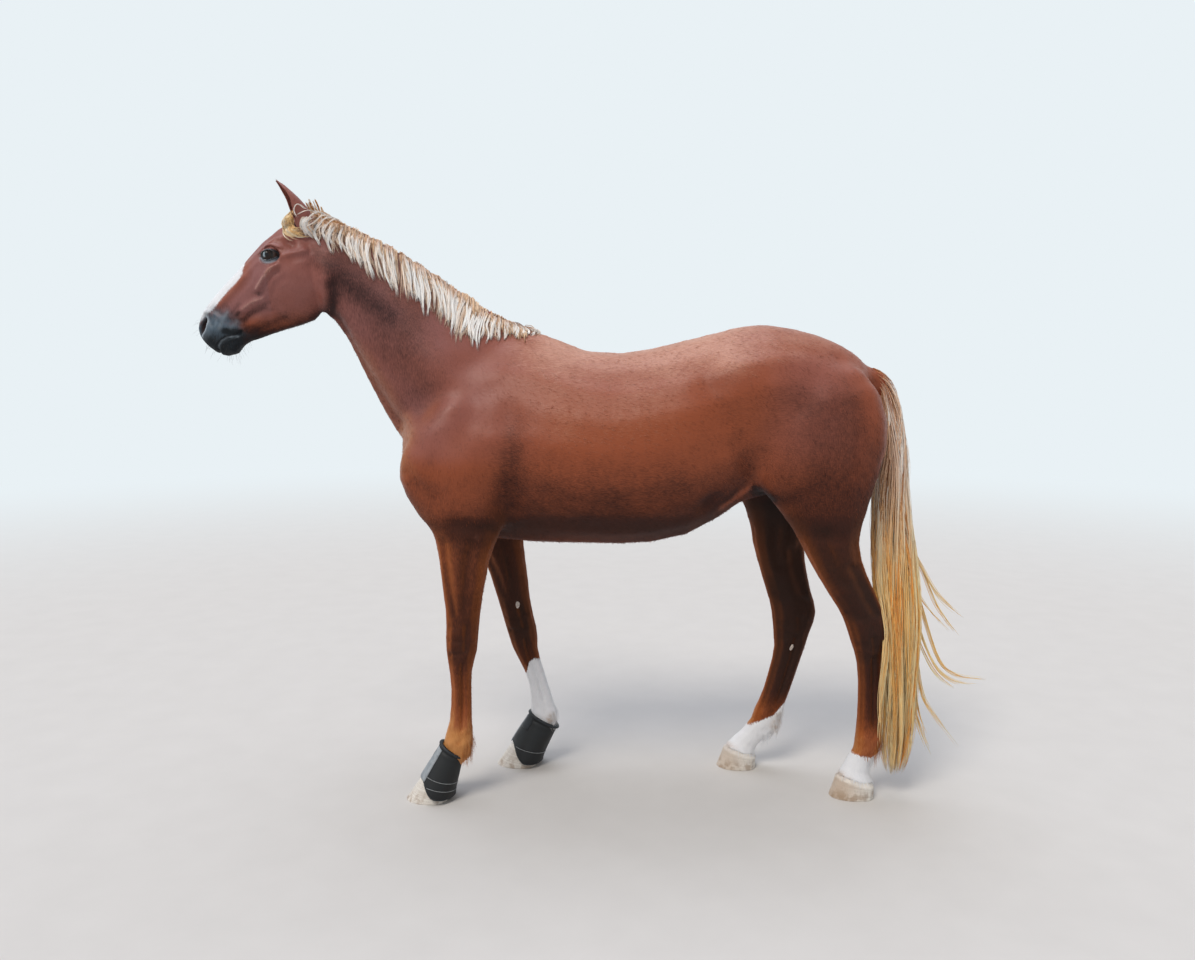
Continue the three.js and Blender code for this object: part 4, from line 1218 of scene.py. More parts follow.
# Loose hair at the poll: golden spikes that stand up behind the ears, and pale locks that
# loop over the root of the near ear.
POLL_ROWS = 12
locks = []
for k in range(22):
    x0, y0 = draw.uniform(-1030, -950), draw.uniform(-20, 8)
    top = top_of_skin(x0, y0)
    high = draw.uniform(34, 64) * (0.45 + 0.55 * ease(-955, -1000, x0))
    lean = draw.uniform(-16, 6)
    line = [(x0 + 8, y0, top - 6), (x0 + 4, y0 - 3, top + 0.45 * high),
            (x0 + 0.6 * lean, y0 - 8, top + 0.85 * high), (x0 + lean, y0 - 10, top + high)]
    locks.append((curve_through(line, POLL_ROWS), 9, 3.2, draw.uniform(0.0, 1.0)))
LOOPS = [
    ([(-975, -26, 2098), (-1012, -66, 2114), (-1036, -84, 2115), (-1049, -88, 2096),
      (-1043, -88, 2075), (-1033, -88, 2068)], 5),
    ([(-960, -26, 2094), (-985, -60, 2094), (-1005, -82, 2093), (-1029, -88, 2082),
      (-1043, -89, 2074)], 5),
    ([(-925, -22, 2090), (-943, -44, 2092), (-971, -70, 2091), (-991, -84, 2075),
      (-1012, -86, 2054), (-1036, -84, 2032)], 9),
    ([(-915, -22, 2084), (-929, -44, 2085), (-957, -68, 2079), (-978, -80, 2055),
      (-1002, -82, 2042), (-1029, -84, 2028)], 9),
    ([(-905, -22, 2078), (-925, -48, 2078), (-950, -70, 2066), (-966, -78, 2040),
      (-984, -80, 2020)], 9),
    ([(-898, -22, 2070), (-915, -50, 2068), (-936, -70, 2050), (-950, -76, 2024),
      (-960, -78, 1998)], 9),
]
for line, count in LOOPS:
    for i, over in ((0, -3), (1, 9)):  # each comes out of the skin and stays close to it
        x0, y0, z0 = line[i]
        line[i] = (x0, y0, min(z0, top_of_skin(x0) + over))
    locks.append((curve_through(line, POLL_ROWS), count, 2.0, 0.9))
poll = bunched("poll_locks", locks, 0.35, 1.2, (1.7, 1.9, 0.35), (0.6, 1.1), [0, -1, 0.4], 0.08)

# The tail hangs from the dock and swings a little to the near side.
# Columns: x, z of the back, x, z of the front, half width, y.
TAIL = np.array([
    [990, 1564, 985, 1500, 36, 0],
    [1032, 1550, 1000, 1462, 42, 0],
    [1072, 1510, 1008, 1430, 45, -2],
    [1098, 1440, 1014, 1372, 47, -6],
    [1112, 1341, 1014, 1311, 49, -14],
    [1120, 1222, 1012, 1212, 52, -26],
    [1128, 1086, 1000, 1086, 58, -42],
    [1144, 941, 996, 941, 62, -62],
    [1160, 789, 1002, 789, 68, -84],
    [1162, 648, 1014, 648, 76, -104],
    [1155, 486, 1022, 486, 72, -116],
    [1149, 325, 1026, 325, 62, -122],
    [1141, 181, 1032, 181, 50, -126],
    [1112, 84, 1052, 84, 32, -128],
])
TAIL_END = len(TAIL) - 1
TAIL_FINE = curve_through(TAIL, 10 * TAIL_END + 1)
TAIL_ROWS = 22


def tail_place(level, share, angle):
    """Points in the tail: a level in TAIL, share of the way out, angle from the back."""
    levels = np.linspace(0, TAIL_END, len(TAIL_FINE))
    x1, z1, x2, z2, half, y = (np.interp(level, levels, column) for column in TAIL_FINE.T)
    back = share * np.cos(angle)
    return np.stack([
        (x1 + x2) / 2 + back * (x1 - x2) / 2,
        y + share * np.sin(angle) * half,
        (z1 + z2) / 2 + back * (z1 - z2) / 2,
    ], -1)


def tail_locks(count, strands, low, high):
    """Wavy locks inside the tail's outline. The strands of a lock come together and part."""
    paths, shades = [], []
    t = np.linspace(0, 1, TAIL_ROWS)
    for _ in range(count):
        angle = draw.uniform(-math.pi, math.pi)
        out = draw.uniform(low, high)
        start = draw.uniform(0.1, 5.0) * (1 - 0.4 * out)
        end = TAIL_END - draw.uniform(0, 1) ** 1.8 * 5.5
        phase, turns = draw.random(), draw.uniform(0.8, 1.8)
        sway, wave = draw.normal(0, 0.3), draw.uniform(0.1, 0.3)
        bend, swing = draw.uniform(1.6, 3.4), draw.uniform(2, 8)
        shade = draw.uniform(0, 1) ** 0.75
        for _ in range(strands):
            da, dr = draw.normal(0, 0.1), draw.normal(0, 0.06)
            first = max(0.05, start + draw.normal(0, 0.3))
            last = min(TAIL_END, end + draw.normal(0, 0.5))
            level = first + (last - first) * t
            gather = 0.3 + 0.7 * np.abs(np.cos(math.pi * (t * 1.6 + phase))) * (1 - 0.6 * t)
            a = angle + da * gather + sway * t
            a = a + wave * np.sin(2 * math.pi * (turns * t + phase)) * ease(0, 0.4, t)
            share = 0.55 + (out - 0.55) * ease(0, 0.45, t) + dr * gather
            share = share + 0.08 * np.sin(2 * math.pi * (1.5 * turns * t + 2 * phase)) * t
            path = tail_place(level, np.clip(share, 0.05, 1.04), a)
            turn = 2 * math.pi * (bend * t + phase)
            path[:, :2] += (swing * ease(0.1, 0.5, t))[:, None] * np.stack(
                [np.sin(turn), np.cos(turn)], 1)
            paths.append(path)
            shades.append(shade + draw.normal(0, 0.12))
    return np.array(paths), np.clip(shades, 0, 1)


tail = []
for name, count, strands, low, high, middle in (
    ("tail_inner_locks", 110, 8, 0.25, 0.7, 4.8),
    ("tail_outer_locks", 130, 10, 0.66, 1.0, 4.0),
):
    paths, shade = tail_locks(count, strands, low, high)
    level = np.interp(-paths[..., 2], -TAIL[:, 1], np.arange(TAIL_END + 1.0))
    outward = unit((paths - tail_place(level, 0.0 * level, 0.0)) * [1, 1, 0.0] + 1e-6)
    width = taper(TAIL_ROWS, 2.6, middle, 0.8) * draw.uniform(0.7, 1.25, (len(paths), 1))
    tail.append(hairs(name, paths, width, outward, flat=0.55, shade=shade))

# Loose locks that drift back from the tail.
WISPS = [
    ([(1060, -40, 1180), (1110, -70, 960), (1181, -70, 826), (1229, -70, 743),
      (1277, -70, 689), (1334, -70, 640)], 7),
    ([(1070, -45, 1150), (1120, -54, 920), (1181, -54, 826), (1231, -54, 707),
      (1270, -54, 642), (1323, -54, 569)], 7),
    ([(1080, -60, 1060), (1112, -90, 850), (1167, -90, 707), (1240, -90, 502),
      (1306, -90, 436), (1424, -90, 416)], 12),
    ([(1080, -60, 1050), (1118, -92, 800), (1150, -92, 660), (1225, -92, 480),
      (1300, -90, 415), (1395, -86, 398)], 9),
    ([(1090, -80, 900), (1120, -112, 660), (1152, -112, 530), (1180, -112, 380),
      (1220, -112, 303), (1322, -112, 172)], 8),
    ([(1100, -90, 700), (1120, -100, 480), (1149, -100, 360), (1181, -100, 237),
      (1240, -100, 110)], 8),
    ([(1090, -70, 900), (1130, -90, 700), (1170, -84, 560), (1236, -80, 440), (1330, -80, 372)], 5),
    ([(1090, -60, 1000), (1135, -70, 800), (1190, -66, 700), (1290, -60, 590)], 4),
    ([(1090, -90, 640), (1140, -120, 420), (1172, -124, 290), (1206, -124, 190)], 5),
    ([(1012, -60, 1000), (1004, -110, 820), (1012, -170, 690), (1018, -192, 600),
      (1008, -190, 440), (1014, -180, 330)], 7),
    ([(1020, -80, 820), (1020, -160, 660), (1012, -186, 520), (1004, -182, 360),
      (1016, -176, 210)], 7),
    ([(1030, -90, 700), (1028, -176, 560), (1014, -180, 400), (1010, -172, 280),
      (1022, -166, 150)], 6),
]
guides = [curve_through(line, TAIL_ROWS) for line, _ in WISPS]
paths, _ = bunch(guides, [n for _, n in WISPS], [4.5] * len(WISPS), 0.5, 5.0)
width = taper(TAIL_ROWS, 2.6, 3.0, 0.7) * draw.uniform(0.6, 1.1, (len(paths), 1))
shade = draw.uniform(0.3, 1, len(paths))
wisps = hairs("tail_loose_locks", paths, width, [0, -1, 0.1], shade=shade)


# Long horse hair is 0.15 mm thick, too fine to show, so each strand here is a lock of about
# 3 mm. It is golden near the skin and paler towards the tip, with darker hair between; in the mane
# and forelock that darker hair is partly painted shade between the locks.
def hair_material(name, root, low, high, dark, ends=None, reach=0.3):
    """low and high are a lock's darker and paler colours. ends gives the lower half of a tail
    its own low, high and dark."""
    paint = Paint(name, Roughness=0.42, Specular_IOR_Level=0.36, Sheen_Weight=0.12)
    fine = paint.grain(900, (1, 1, 0.06), detail=2)
    level = paint.add("sum", "shade", paint.add("span", fine, 0.3, 0.7, -0.12, 0.12))
    body = paint.step(level, 0.35, 1.0, low, high)
    if ends:
        tall = paint.add("height", paint.add("place"))
        lower = paint.add("span", tall, 0.7, 1.25, 1.0, 0.0)
        body = paint.add("mix", lower, body, paint.step(level, 0.3, 1.0, ends[0], ends[1]))
        dark = paint.add("mix", lower, dark, ends[2])
    body = paint.add("mix", paint.add("span", level, 0.0, 0.3, 1.0, 0.0), body, dark)
    near_skin = paint.add("span", "along", 0.0, reach, 1.0, 0.0)
    body = paint.add("mix", near_skin, body, paint.add("mix", level, dark, root))
    return paint.finish(body, paint.add("bump", fine, 0.0005, 0.5))


mane_hair = hair_material("mane_long_flaxen_hair", "#dcac84", "#f4d8bc", "#fffefa", "#8a6048",
                          reach=0.4)
crest_hair = hair_material("mane_crest_golden_hair", "#e0b088", "#ecc8a0", "#fff0dc", "#cc9a70")
poll_hair = hair_material("poll_long_golden_hair", "#e0a050", "#e8b878", "#fff8f0", "#c98238")
gold_hair = hair_material("forelock_long_golden_hair", "#f0b468", "#ffdda2", "#fffdf2", "#ecb46e")
tail_hair = hair_material("tail_long_golden_hair", "#c27a42", "#ecc29c", "#fff8ee", "#8c5632",
                          ("#ffc66c", "#ffedb8", "#fca648"))
wear(mane, mane_hair, "long_hair", "mane")
wear(crest, crest_hair, "long_hair")
wear(poll, poll_hair, "long_hair")
wear(forelock, gold_hair, "long_hair", "forelock")
wear(tail[0], tail_hair, "long_hair", "tail")
wear(tail[1], tail_hair, "long_hair")
wear(wisps, tail_hair, "long_hair")


# ------------------------------------------------------------------ eyes
def sweep(name, line, radius, sides, closed=True, flat=1.0):
    """A tube along a row of points, round at its ends unless they meet."""
    line = np.asarray(line, float)
    n = len(line)
    if closed:
        along = unit(np.roll(line, -1, 0) - np.roll(line, 1, 0))
    else:
        along = unit(np.gradient(line, axis=0))
        radius = radius * np.sqrt(np.maximum(1 - np.abs(np.linspace(-1, 1, n)) ** (n / 1.5), 0.02))
    side = unit(np.cross(along, line - line.mean(0)))
    up = np.cross(side, along)
    a = np.linspace(0, 2 * math.pi, sides, endpoint=False)[None, :, None]
    around = flat * np.cos(a) * up[:, None] + np.sin(a) * side[:, None]
    points = line[:, None] + np.broadcast_to(radius, n)[:, None, None] * around
    face_sets = [grid(n, sides, ring=closed)]
    if not closed:
        corner = np.arange(sides)
        face_sets.append(np.stack([corner[::-1], (n - 1) * sides + corner]))
    return facing_outwards(new_mesh(name, world(points.reshape(-1, 3)), *face_sets))


IRIS_TURN, CORNEA_RISE = 40.0, 2.4  # degrees from the axis to the iris's rim, and millimetres
PUPIL_HALF_WIDE, PUPIL_HALF_TALL = 8.6, 4.6


def eyeball(side):
    axis = Vector((-0.2, side * 0.97, 0.04)).normalized()
    globe = ball(56, 40)
    globe.name = "eyeball_near" if side == NEAR else "eyeball_far"
    form = unit(coords(globe))
    turn = np.degrees(np.arccos(np.clip(form[:, 2], -1, 1)))
    rim = turn / IRIS_TURN
    radius = EYE_R + CORNEA_RISE * (1 - ease(0.0, 1.12, rim))
    points = (form * radius[:, None]) @ np.array(axis.to_track_quat("Z", "Y").to_matrix()).T
    set_coords(globe, world(points + EYE_AT * [1, side, 1]))
    tall = unit(np.array([0, 0, 1.0]) - np.array(axis) * axis.z)
    wide = np.cross(tall, np.array(axis))
    across, up = points @ wide, points @ tall
    pupil = np.where(turn < 90, np.hypot(across / PUPIL_HALF_WIDE, up / PUPIL_HALF_TALL), 9)
    turned = np.arctan2(up, across)
    x, _, z = points.T
    front = bell(x + 12 - 0.03 * (z - 2) ** 2, 3.2) * ease(11, 6, np.abs(z - 2)) * (turn < 90)
    set_values(globe, ring=rim, pupil=pupil, front=front, ray_x=np.cos(turned),
               ray_y=np.sin(turned))
    return globe


# The horse's eye: a dark brown iris with fine rays and a wide flat pupil, behind a clear wet
# cornea, which gives it a sharp highlight.
paint = Paint("horse_eye_wet_dark_brown", Roughness=0.3, Specular_IOR_Level=0.1, Coat_Weight=0.4,
              Coat_Roughness=0.03)
rays = paint.add("point", "ray_x", "ray_y", paint.add("product", "ring", 0.12))
fine = paint.grain(14, detail=4, place=rays)
ring = paint.add("mesh value", attribute_name="ring")
iris = paint.step(fine, 0.3, 0.7, "#120804", "#381e0c")
iris = paint.add("mix", paint.add("span", ring, 0.35, 0.95, 0.25, 1.0), "#0d0603", iris)
iris = paint.step(ring, 0.86, 1.04, iris, "#0b0706")
white = paint.step(ring, 1.2, 1.7, "#20140f", "#5a463f")
ball_colour = paint.step(ring, 1.02, 1.1, iris, white)
ball_colour = paint.step("pupil", 0.86, 1.1, "#04060a", ball_colour)
# a painted reflection: a pale blue-grey crescent towards the front of the eye
ball_colour = paint.add("mix", "front", ball_colour, "#b4c8d2")
eye_finish = paint.finish(ball_colour)
wear(eyeball(NEAR), eye_finish, "eye", "eye_near")
wear(eyeball(FAR), eye_finish, "eye", "eye_far")

# Moist black skin along the edges of the lids; the lower one is paler grey, a painted highlight.
paint = Paint("eyelid_rim_moist_black_skin", Roughness=0.24, Specular_IOR_Level=0.6,
              Coat_Weight=0.5, Coat_Roughness=0.12)
grain = paint.grain(700, detail=3)
rim_colour = paint.add("mix", "low", "#0f1013", "#46505b")
rim_colour = paint.add("mix", paint.add("span", grain, 0.3, 0.7, 0.0, 0.35), rim_colour, "#101114")
lid_finish = paint.finish(rim_colour, paint.add("bump", grain, 0.0003, 0.3))
rims = []
for side in (NEAR, FAR):
    reach = np.hypot(*(OPENING - EYE_AT[[0, 2]]).T)
    y = EYE_AT[1] + np.sqrt(np.maximum((EYE_R + 1.7) ** 2 - reach**2, 20))
    rim = sweep("lid_rim", np.column_stack([OPENING[:, 0], side * y, OPENING[:, 1]]), 2.1, 8)
    # the painted highlight on the lower rim, strongest on its faces turned up
    low = ease(3, -7, table(coords(rim))[:, 2] - EYE_AT[2])
    set_values(rim, low=low * ease(0.1, 0.8, coords(rim, "normal")[:, 2] + 0.5))
    rims.append(rim)
wear(joined("eyelid_rims", rims), lid_finish, "coat")

# ------------------------------------------------------------------ hooves
HOOF_GRAIN, HOOF_SWELL = 0.0036, 0.0002  # metres
HOOVES = ("fore_hoof_near", "fore_hoof_far", "hind_hoof_near", "hind_hoof_far")


def coronet_height(node, x):
    """The top edge of a hoof, which slopes from 83 mm in front to 49 mm at the heel."""
    low, high = node_box(node)
    front = low[0] + (56 if "fore" in node else 29)
    return np.interp(x, [front, high[0]], [83, 49])


hooves = copy_of("hooves_horn", *HOOVES)
remesh(hooves, HOOF_GRAIN, HOOF_SWELL)
p = coords(hooves) * 1000
sole = p[:, 2] < 3
p = relax(p, edges_of(hooves), np.where(sole, 0.15, 0.85), 16)
set_coords(hooves, p / 1000)
facing = coords(hooves, "normal")
p = table(p / 1000)
height = p[:, 2]
toe, tan = np.zeros((2, len(p)))
from_top, middle = np.full(len(p), 99.0), np.zeros((len(p), 2))
for node, brown in zip(HOOVES, (0.05, 0.05, 0.6, 0.45)):
    low, high = node_box(node)
    own = np.all((p > low - 8) & (p < high + 8), axis=1)
    toe[own] = (p[own, 0] - low[0]) / (high[0] - low[0])
    tan[own] = brown * ease(0.85, 0.2, toe[own])
    from_top[own] = coronet_height(node, p[own, 0]) - p[own, 2]
    middle[own] = p[own & (from_top < 6), :2].mean(0)
slope = height + 0.34 * toe * 60  # the rings run parallel to the coronet
wall = ease(0.75, 0.35, np.abs(facing[:, 2]))
rings = 0.42 * np.sin(slope * 2 * math.pi / 9.5) + 0.3 * np.sin(slope * 2 * math.pi / 5.3 + 1.3)
coronet = bell(from_top - 14, 7) - 3.2 * ease(12, 1, from_top)
p += facing * ((rings + coronet) * wall)[:, None]
# the wall's top edge is tucked under the hair
p[:, :2] -= (p[:, :2] - middle) * (0.2 * ease(11, 1, from_top))[:, None]
p[:, 2] += 8 * ease(9, 1, from_top)
p[:, 2] = np.maximum(p[:, 2], 0.2)
set_coords(hooves, world(p))
set_values(hooves, slope=slope / 100, toe=toe, tan=tan, down=ease(60, 4, height),
           top=ease(20, 5, from_top))

# Hoof horn: pale under white legs, with growth rings and fine tubules that run to the ground,
# scuffed and stained with earth low down.
paint = Paint("hoof_horn_pale_scuffed", Roughness=0.5, Specular_IOR_Level=0.4)
tubules = paint.grain(420, (1, 1, 0.05), (0, 0.5, 0), detail=2)
band = paint.add("point", "slope")
growth = paint.grain(34, detail=2, place=band)
stain = paint.grain(38, detail=5)
horn = paint.step(growth, 0.3, 0.7, "#d6cfc4", "#f4f0e8")
tan = paint.add("product", "tan", paint.add("span", growth, 0.25, 0.75, 0.5, 1.0))
horn = paint.add("mix", tan, horn, "#b98f60")
horn = paint.add("mix", paint.add("span", tubules, 0.55, 0.75, 0.0, 0.3), horn, "#86705a")
low = paint.add("span", "down", 0.1, 1.0, 0.05, 0.5)
earth = paint.add("product", paint.add("span", stain, 0.42, 0.62), low)
horn = paint.add("mix", earth, horn, "#8c673c")
horn = paint.add("mix", paint.add("product", "top", 0.7), horn, "#efe9df")
relief = paint.add("sum", paint.add("product", growth, 0.6), tubules)
dull = paint.add("span", stain, 0.3, 0.7, 0.42, 0.66)
horn_finish = paint.finish(horn, paint.add("bump", relief, 0.0006, 0.5), dull)
wear(hooves, horn_finish, "horn", *HOOVES)


# Callosities: dry horny pads on the insides of the legs.
PAD_THICK = 4.2


def callosity(leg, z, tall, wide, tilt, across=0.5):
    low, high = node_box(leg)
    side = NEAR if low[1] + high[1] < 0 else FAR
    around = table(coords(skin))
    around = around[(np.abs(around[:, 2] - z) < 12) & (around[:, 1] * side > 40)]
    around = around[(around[:, 0] > low[0] - 9) & (around[:, 0] < high[0] + 9), 0]
    x = around.min() + across * (around.max() - around.min())
    start = Vector(world([x, side * 20, z]))
    hit, normal, *_ = skin_tree.ray_cast(start, Vector((0, side, 0)))
    out = unit(np.array(normal))
    up = unit(np.array([tilt, 0, 1.0]) - out * (out @ [tilt, 0, 1.0]))
    pad = ball(28, 18)
    form = coords(pad)
    lump = 1 + 0.1 * np.sin(7 * form[:, 2] + 3 * form[:, 0]) * np.cos(5 * form[:, 1] + 1)
    a, b, c = np.split(form * lump[:, None], 3, axis=1)
    points = table(hit) + a * wide * np.cross(up, out) + c * tall * up + b * PAD_THICK * out
    set_coords(pad, world(points))
    return facing_outwards(pad)


pads = [
    callosity("fore_leg_far", 651, 18, 9, 0.3, 0.62),
    callosity("fore_leg_near", 649, 19, 11, 0.1),
    callosity("hind_leg_far", 482, 14, 8, 0.15),
    callosity("hind_leg_near", 492, 14, 8, 0.1),
]
paint = Paint("callosity_dry_grey_horn", Roughness=0.8, Specular_IOR_Level=0.2)
crust = paint.grain(420, (1, 1, 0.5), detail=5)
scale = paint.step(crust, 0.3, 0.7, "#b5a498", "#f0e6dc")
pad_finish = paint.finish(scale, paint.add("bump", crust, 0.0012, 0.8))
wear(joined("callosities_horn", pads), pad_finish, "horn")

# ------------------------------------------------------------------ overreach boots
# Rows from the collar down: x, z of the front, x, z of the back, half width.
BOOT = [
    [-563, 210, -485, 157, 40],
    [-578, 182, -489, 140, 46],
    [-606, 140, -497, 100, 58],
    [-641, 84, -509, 48, 72],
    [-672, 40, -516, 10, 80],
]
BOOT_FAR = [
    [-563, 210, -456, 150, 42],
    [-578, 182, -466, 131, 47],
    [-606, 140, -482, 96, 58],
    [-641, 84, -504, 48, 72],
    [-672, 40, -516, 10, 80],
]
BOOT_RIM = [(-700, 260), (-700, 118), (-629, 92), (-608, 46), (-584, 18), (-400, 13), (-400, 260)]
BOOT_FAR_SHIFT, BOOT_Y = 299, 156
BOOT_ROWS, BOOT_SIDES, BOOT_WALL = 30, 72, 5.0
RUBBER, COLLAR, FLAP, PIPING = 0, 1, 2, 3
PIPINGS = ((0.66, 30, 170), (0.8, 46, 176), (0.72, -172, -34))  # share down, degrees round


def boot_surface(rows, t, a):
    """Points on the bell at shares t down from the collar and angles a from the front."""
    levels = np.linspace(0, 1, len(rows))
    x1, z1, x2, z2, half = (np.interp(t, levels, column) for column in rows.T)
    c, s = np.cos(a), np.sin(a)
    x, z = (x1 + x2) / 2 + c * (x1 - x2) / 2, (z1 + z2) / 2 + c * (z1 - z2) / 2
    return np.stack([x, s * half, z], -1)


def boot_normals(rows, t, a):
    step = 1e-3
    down = boot_surface(rows, t + step, a) - boot_surface(rows, t - step, a)
    round_ = boot_surface(rows, t, a + step) - boot_surface(rows, t, a - step)
    return unit(np.cross(down, round_))


def boot_strip(rows, low, high, first, last, rise):
    """A raised strip on the bell, with its shares down from the collar and its degrees round."""
    u, v = np.meshgrid(np.linspace(-1, 1, 26), np.linspace(-1, 1, 16), indexing="ij")
    t = (low + high) / 2 + u * (high - low) / 2
    a = np.radians((first + last) / 2 + v * (last - first) / 2)
    at, out = boot_surface(rows, t, a), boot_normals(rows, t, a)
    out = out * np.where(out[..., :1] > 0, -1, 1)
    edge = np.maximum(np.abs(u) ** 5, np.abs(v) ** 4)
    lift = 0.6 + rise * np.sqrt(np.clip(1 - edge, 0, 1))
    return shell("strip", at + out * lift[..., None], at - out * 1.5, False)


def trim(line, radius, sides, flat=1.0, closed=True):
    """A swept tube whose points stay in millimetres, as the bell's are."""
    obj = sweep("trim", line, radius, sides, closed, flat)
    set_coords(obj, table(coords(obj)))
    return obj


def bell_ends(rows, angles):
    """How far down the bell goes at each angle, to the side view of its rim."""
    t = np.linspace(0, 1, 200)
    ends = []
    for a in angles:
        line = boot_surface(rows, t, np.full(len(t), a))
        ends.append(t[inside_by(side_view(line), BOOT_RIM) > 0].max())
    ends = np.array(ends)
    for _ in range(3):
        ends = 0.5 * ends + 0.25 * (np.roll(ends, 1) + np.roll(ends, -1))
    return ends


def boot(side):
    rows = curve_through(BOOT if side == NEAR else BOOT_FAR, 101)
    angles = np.linspace(0, 2 * math.pi, BOOT_SIDES, endpoint=False)
    ends = bell_ends(rows, angles)
    down = np.linspace(0.02, 1, BOOT_ROWS)[:, None] * (ends[None] - 0.012)
    a = np.broadcast_to(angles, down.shape)
    normal = boot_normals(rows, np.clip(down, 0.002, 0.998), a)
    if normal[5, 0, 0] > 0:
        normal = -normal
    # soft folds below the collar and a shallow dent where the strap pulls
    fold = 1.6 * np.sin(down * 34) * ease(0.34, 0.05, down)
    fold += 0.8 * np.sin(3 * a + 1) * ease(0.1, 0.6, down)
    outer = boot_surface(rows, down, a) + normal * fold[..., None]
    parts = {
        shell("bell", outer, outer - normal * BOOT_WALL, True): RUBBER,
        trim(outer[0] - normal[0], 6.2, 12, 1.15): COLLAR,
        trim(outer[-1] - normal[-1] * 2.2, 3.4, 8): COLLAR,
        boot_strip(rows, 0.13, 0.74, 4, 46, 3.4): FLAP,
        boot_strip(rows, 0.06, 0.42, -52, -6, 3.0): COLLAR,
    }
    for level, first, last in PIPINGS:
        arc = np.radians(np.linspace(first, last, 40))
        arc = arc[np.interp(arc % (2 * math.pi), angles, ends) > level + 0.03]
        t = np.full(len(arc), level)
        line, out = boot_surface(rows, t, arc), boot_normals(rows, t, arc)
        outward = np.sum(out * (line - line.mean(0) * [1, 0, 1]), -1, keepdims=True)
        line = line + out * np.sign(outward + 1e-9) * 0.9
        parts[trim(line, 1.1, 6, closed=False)] = PIPING
    for obj, part in parts.items():
        set_values(obj, part=part)
    whole = joined("overreach_boot_near" if side == NEAR else "overreach_boot_far", list(parts))
    p = coords(whole)
    p[:, 0] += BOOT_FAR_SHIFT if side == FAR else 0
    p[:, 1] = side * (p[:, 1] + BOOT_Y)
    set_coords(whole, world(p))
    return facing_outwards(whole)


# Moulded black rubber, matt, with patches of dust; the closing flap is paler grey-blue
# fabric-faced rubber, and the pipings are light.
paint = Paint("overreach_boot_black_rubber", Roughness=0.5, Specular_IOR_Level=0.45)
part = paint.add("mesh value", attribute_name="part")
skin_grain = paint.grain(620, detail=3)
dust = paint.grain(26, detail=5)
rubber = paint.add("mix", paint.add("span", dust, 0.45, 0.75, 0.0, 0.5), "#08090b", "#191d20")
flap_colour = paint.step(dust, 0.3, 0.7, "#7d858c", "#aab0b4")
for kind, look in ((COLLAR, "#181c20"), (FLAP, flap_colour), (PIPING, "#8c8f8f")):
    rubber = paint.step(part, kind - 0.5, kind - 0.4, rubber, look)
worn = paint.add("span", dust, 0.3, 0.7, 0.42, 0.62)
boot_finish = paint.finish(rubber, paint.add("bump", skin_grain, 0.0004, 0.5), worn)
wear(boot(NEAR), boot_finish, "boot_rubber", "boot_near")
wear(boot(FAR), boot_finish, "boot_rubber", "boot_far")

# ------------------------------------------------------------------ short coat in tufts
# Which way the hair lies: x and z of a place, and its direction there.
LIE = np.array([
    [-1380, 1690, -0.62, -0.78], [-1250, 1830, -0.62, -0.78], [-1150, 1990, -0.6, -0.8],
    [-1180, 1760, -0.5, -0.86], [-1040, 1820, -0.1, -1.0], [-1000, 1960, 0.2, -0.98],
    [-900, 1900, 0.45, -0.89], [-800, 1660, 0.38, -0.92], [-620, 1450, 0.32, -0.95],
    [-520, 1700, 0.5, -0.86], [-450, 1400, 0.35, -0.94], [-560, 1150, 0.1, -1.0],
    [-200, 1600, 0.85, -0.52], [-200, 1300, 0.86, -0.5], [100, 1500, 0.92, -0.38],
    [100, 1100, 0.94, -0.34], [400, 1450, 0.84, -0.54], [400, 1150, 0.75, -0.66],
    [700, 1600, 0.78, -0.62], [700, 1350, 0.5, -0.86], [860, 1250, 0.36, -0.93],
    [700, 1060, 0.2, -0.98], [960, 1500, 0.5, -0.86],
])
LIE_REACH = 130.0


def in_head(p):
    return (p[:, 0] < -930) & (p[:, 2] > 1560)


def in_ears(p):
    return (p[:, 2] > 2050) & (np.abs(p[:, 1]) > 26) & (p[:, 0] < -985)


def lie_of(p, n):
    """Which way the coat lies at points on the skin with normals n."""
    gap = ((p[:, None, [0, 2]] - LIE[None, :, :2]) ** 2).sum(2)
    w = np.exp(-gap / (2 * LIE_REACH**2)) + 1e-9
    v = (w @ LIE[:, 2:]) / w.sum(1, keepdims=True)
    v = np.column_stack([v[:, 0], np.zeros(len(v)), v[:, 1]])
    legs = ease(1060, 930, p[:, 2])[:, None]
    v = v * (1 - legs) + legs * [0.07, 0, -1]
    v = np.where(in_ears(p)[:, None], [-0.35, 0, 0.94], v)
    return unit(v - n * np.sum(v * n, 1, keepdims=True) + 1e-6 * n[:, [1, 2, 0]])


def roots_on_skin(count):
    """Random places spread evenly over the skin, with its normals and values there."""
    skin.data.calc_loop_triangles()
    tris = np.empty(len(skin.data.loop_triangles) * 3, np.int32)
    skin.data.loop_triangles.foreach_get("vertices", tris)
    tris = tris.reshape(-1, 3)
    points, normals = coords(skin), coords(skin, "normal")
    a, b, c = (points[tris[:, k]] for k in range(3))
    area = np.linalg.norm(np.cross(b - a, c - a), axis=1)
    chosen = tris[draw.choice(len(tris), count, p=area / area.sum())]
    u, v = draw.random((2, count))
    fold = u + v > 1
    u, v = np.where(fold, 1 - u, u), np.where(fold, 1 - v, v)
    share = np.stack([1 - u - v, u, v], 1)
    at = (points[chosen] * share[:, :, None]).sum(1)
    normal = unit((normals[chosen] * share[:, :, None]).sum(1))
    return table(at), normal, {key: (mark[chosen] * share).sum(1) for key, mark in marks.items()}


SHOWN = ("white", "dark", "tone", "tan_and_rim_light", "soil", "painted_sheen")


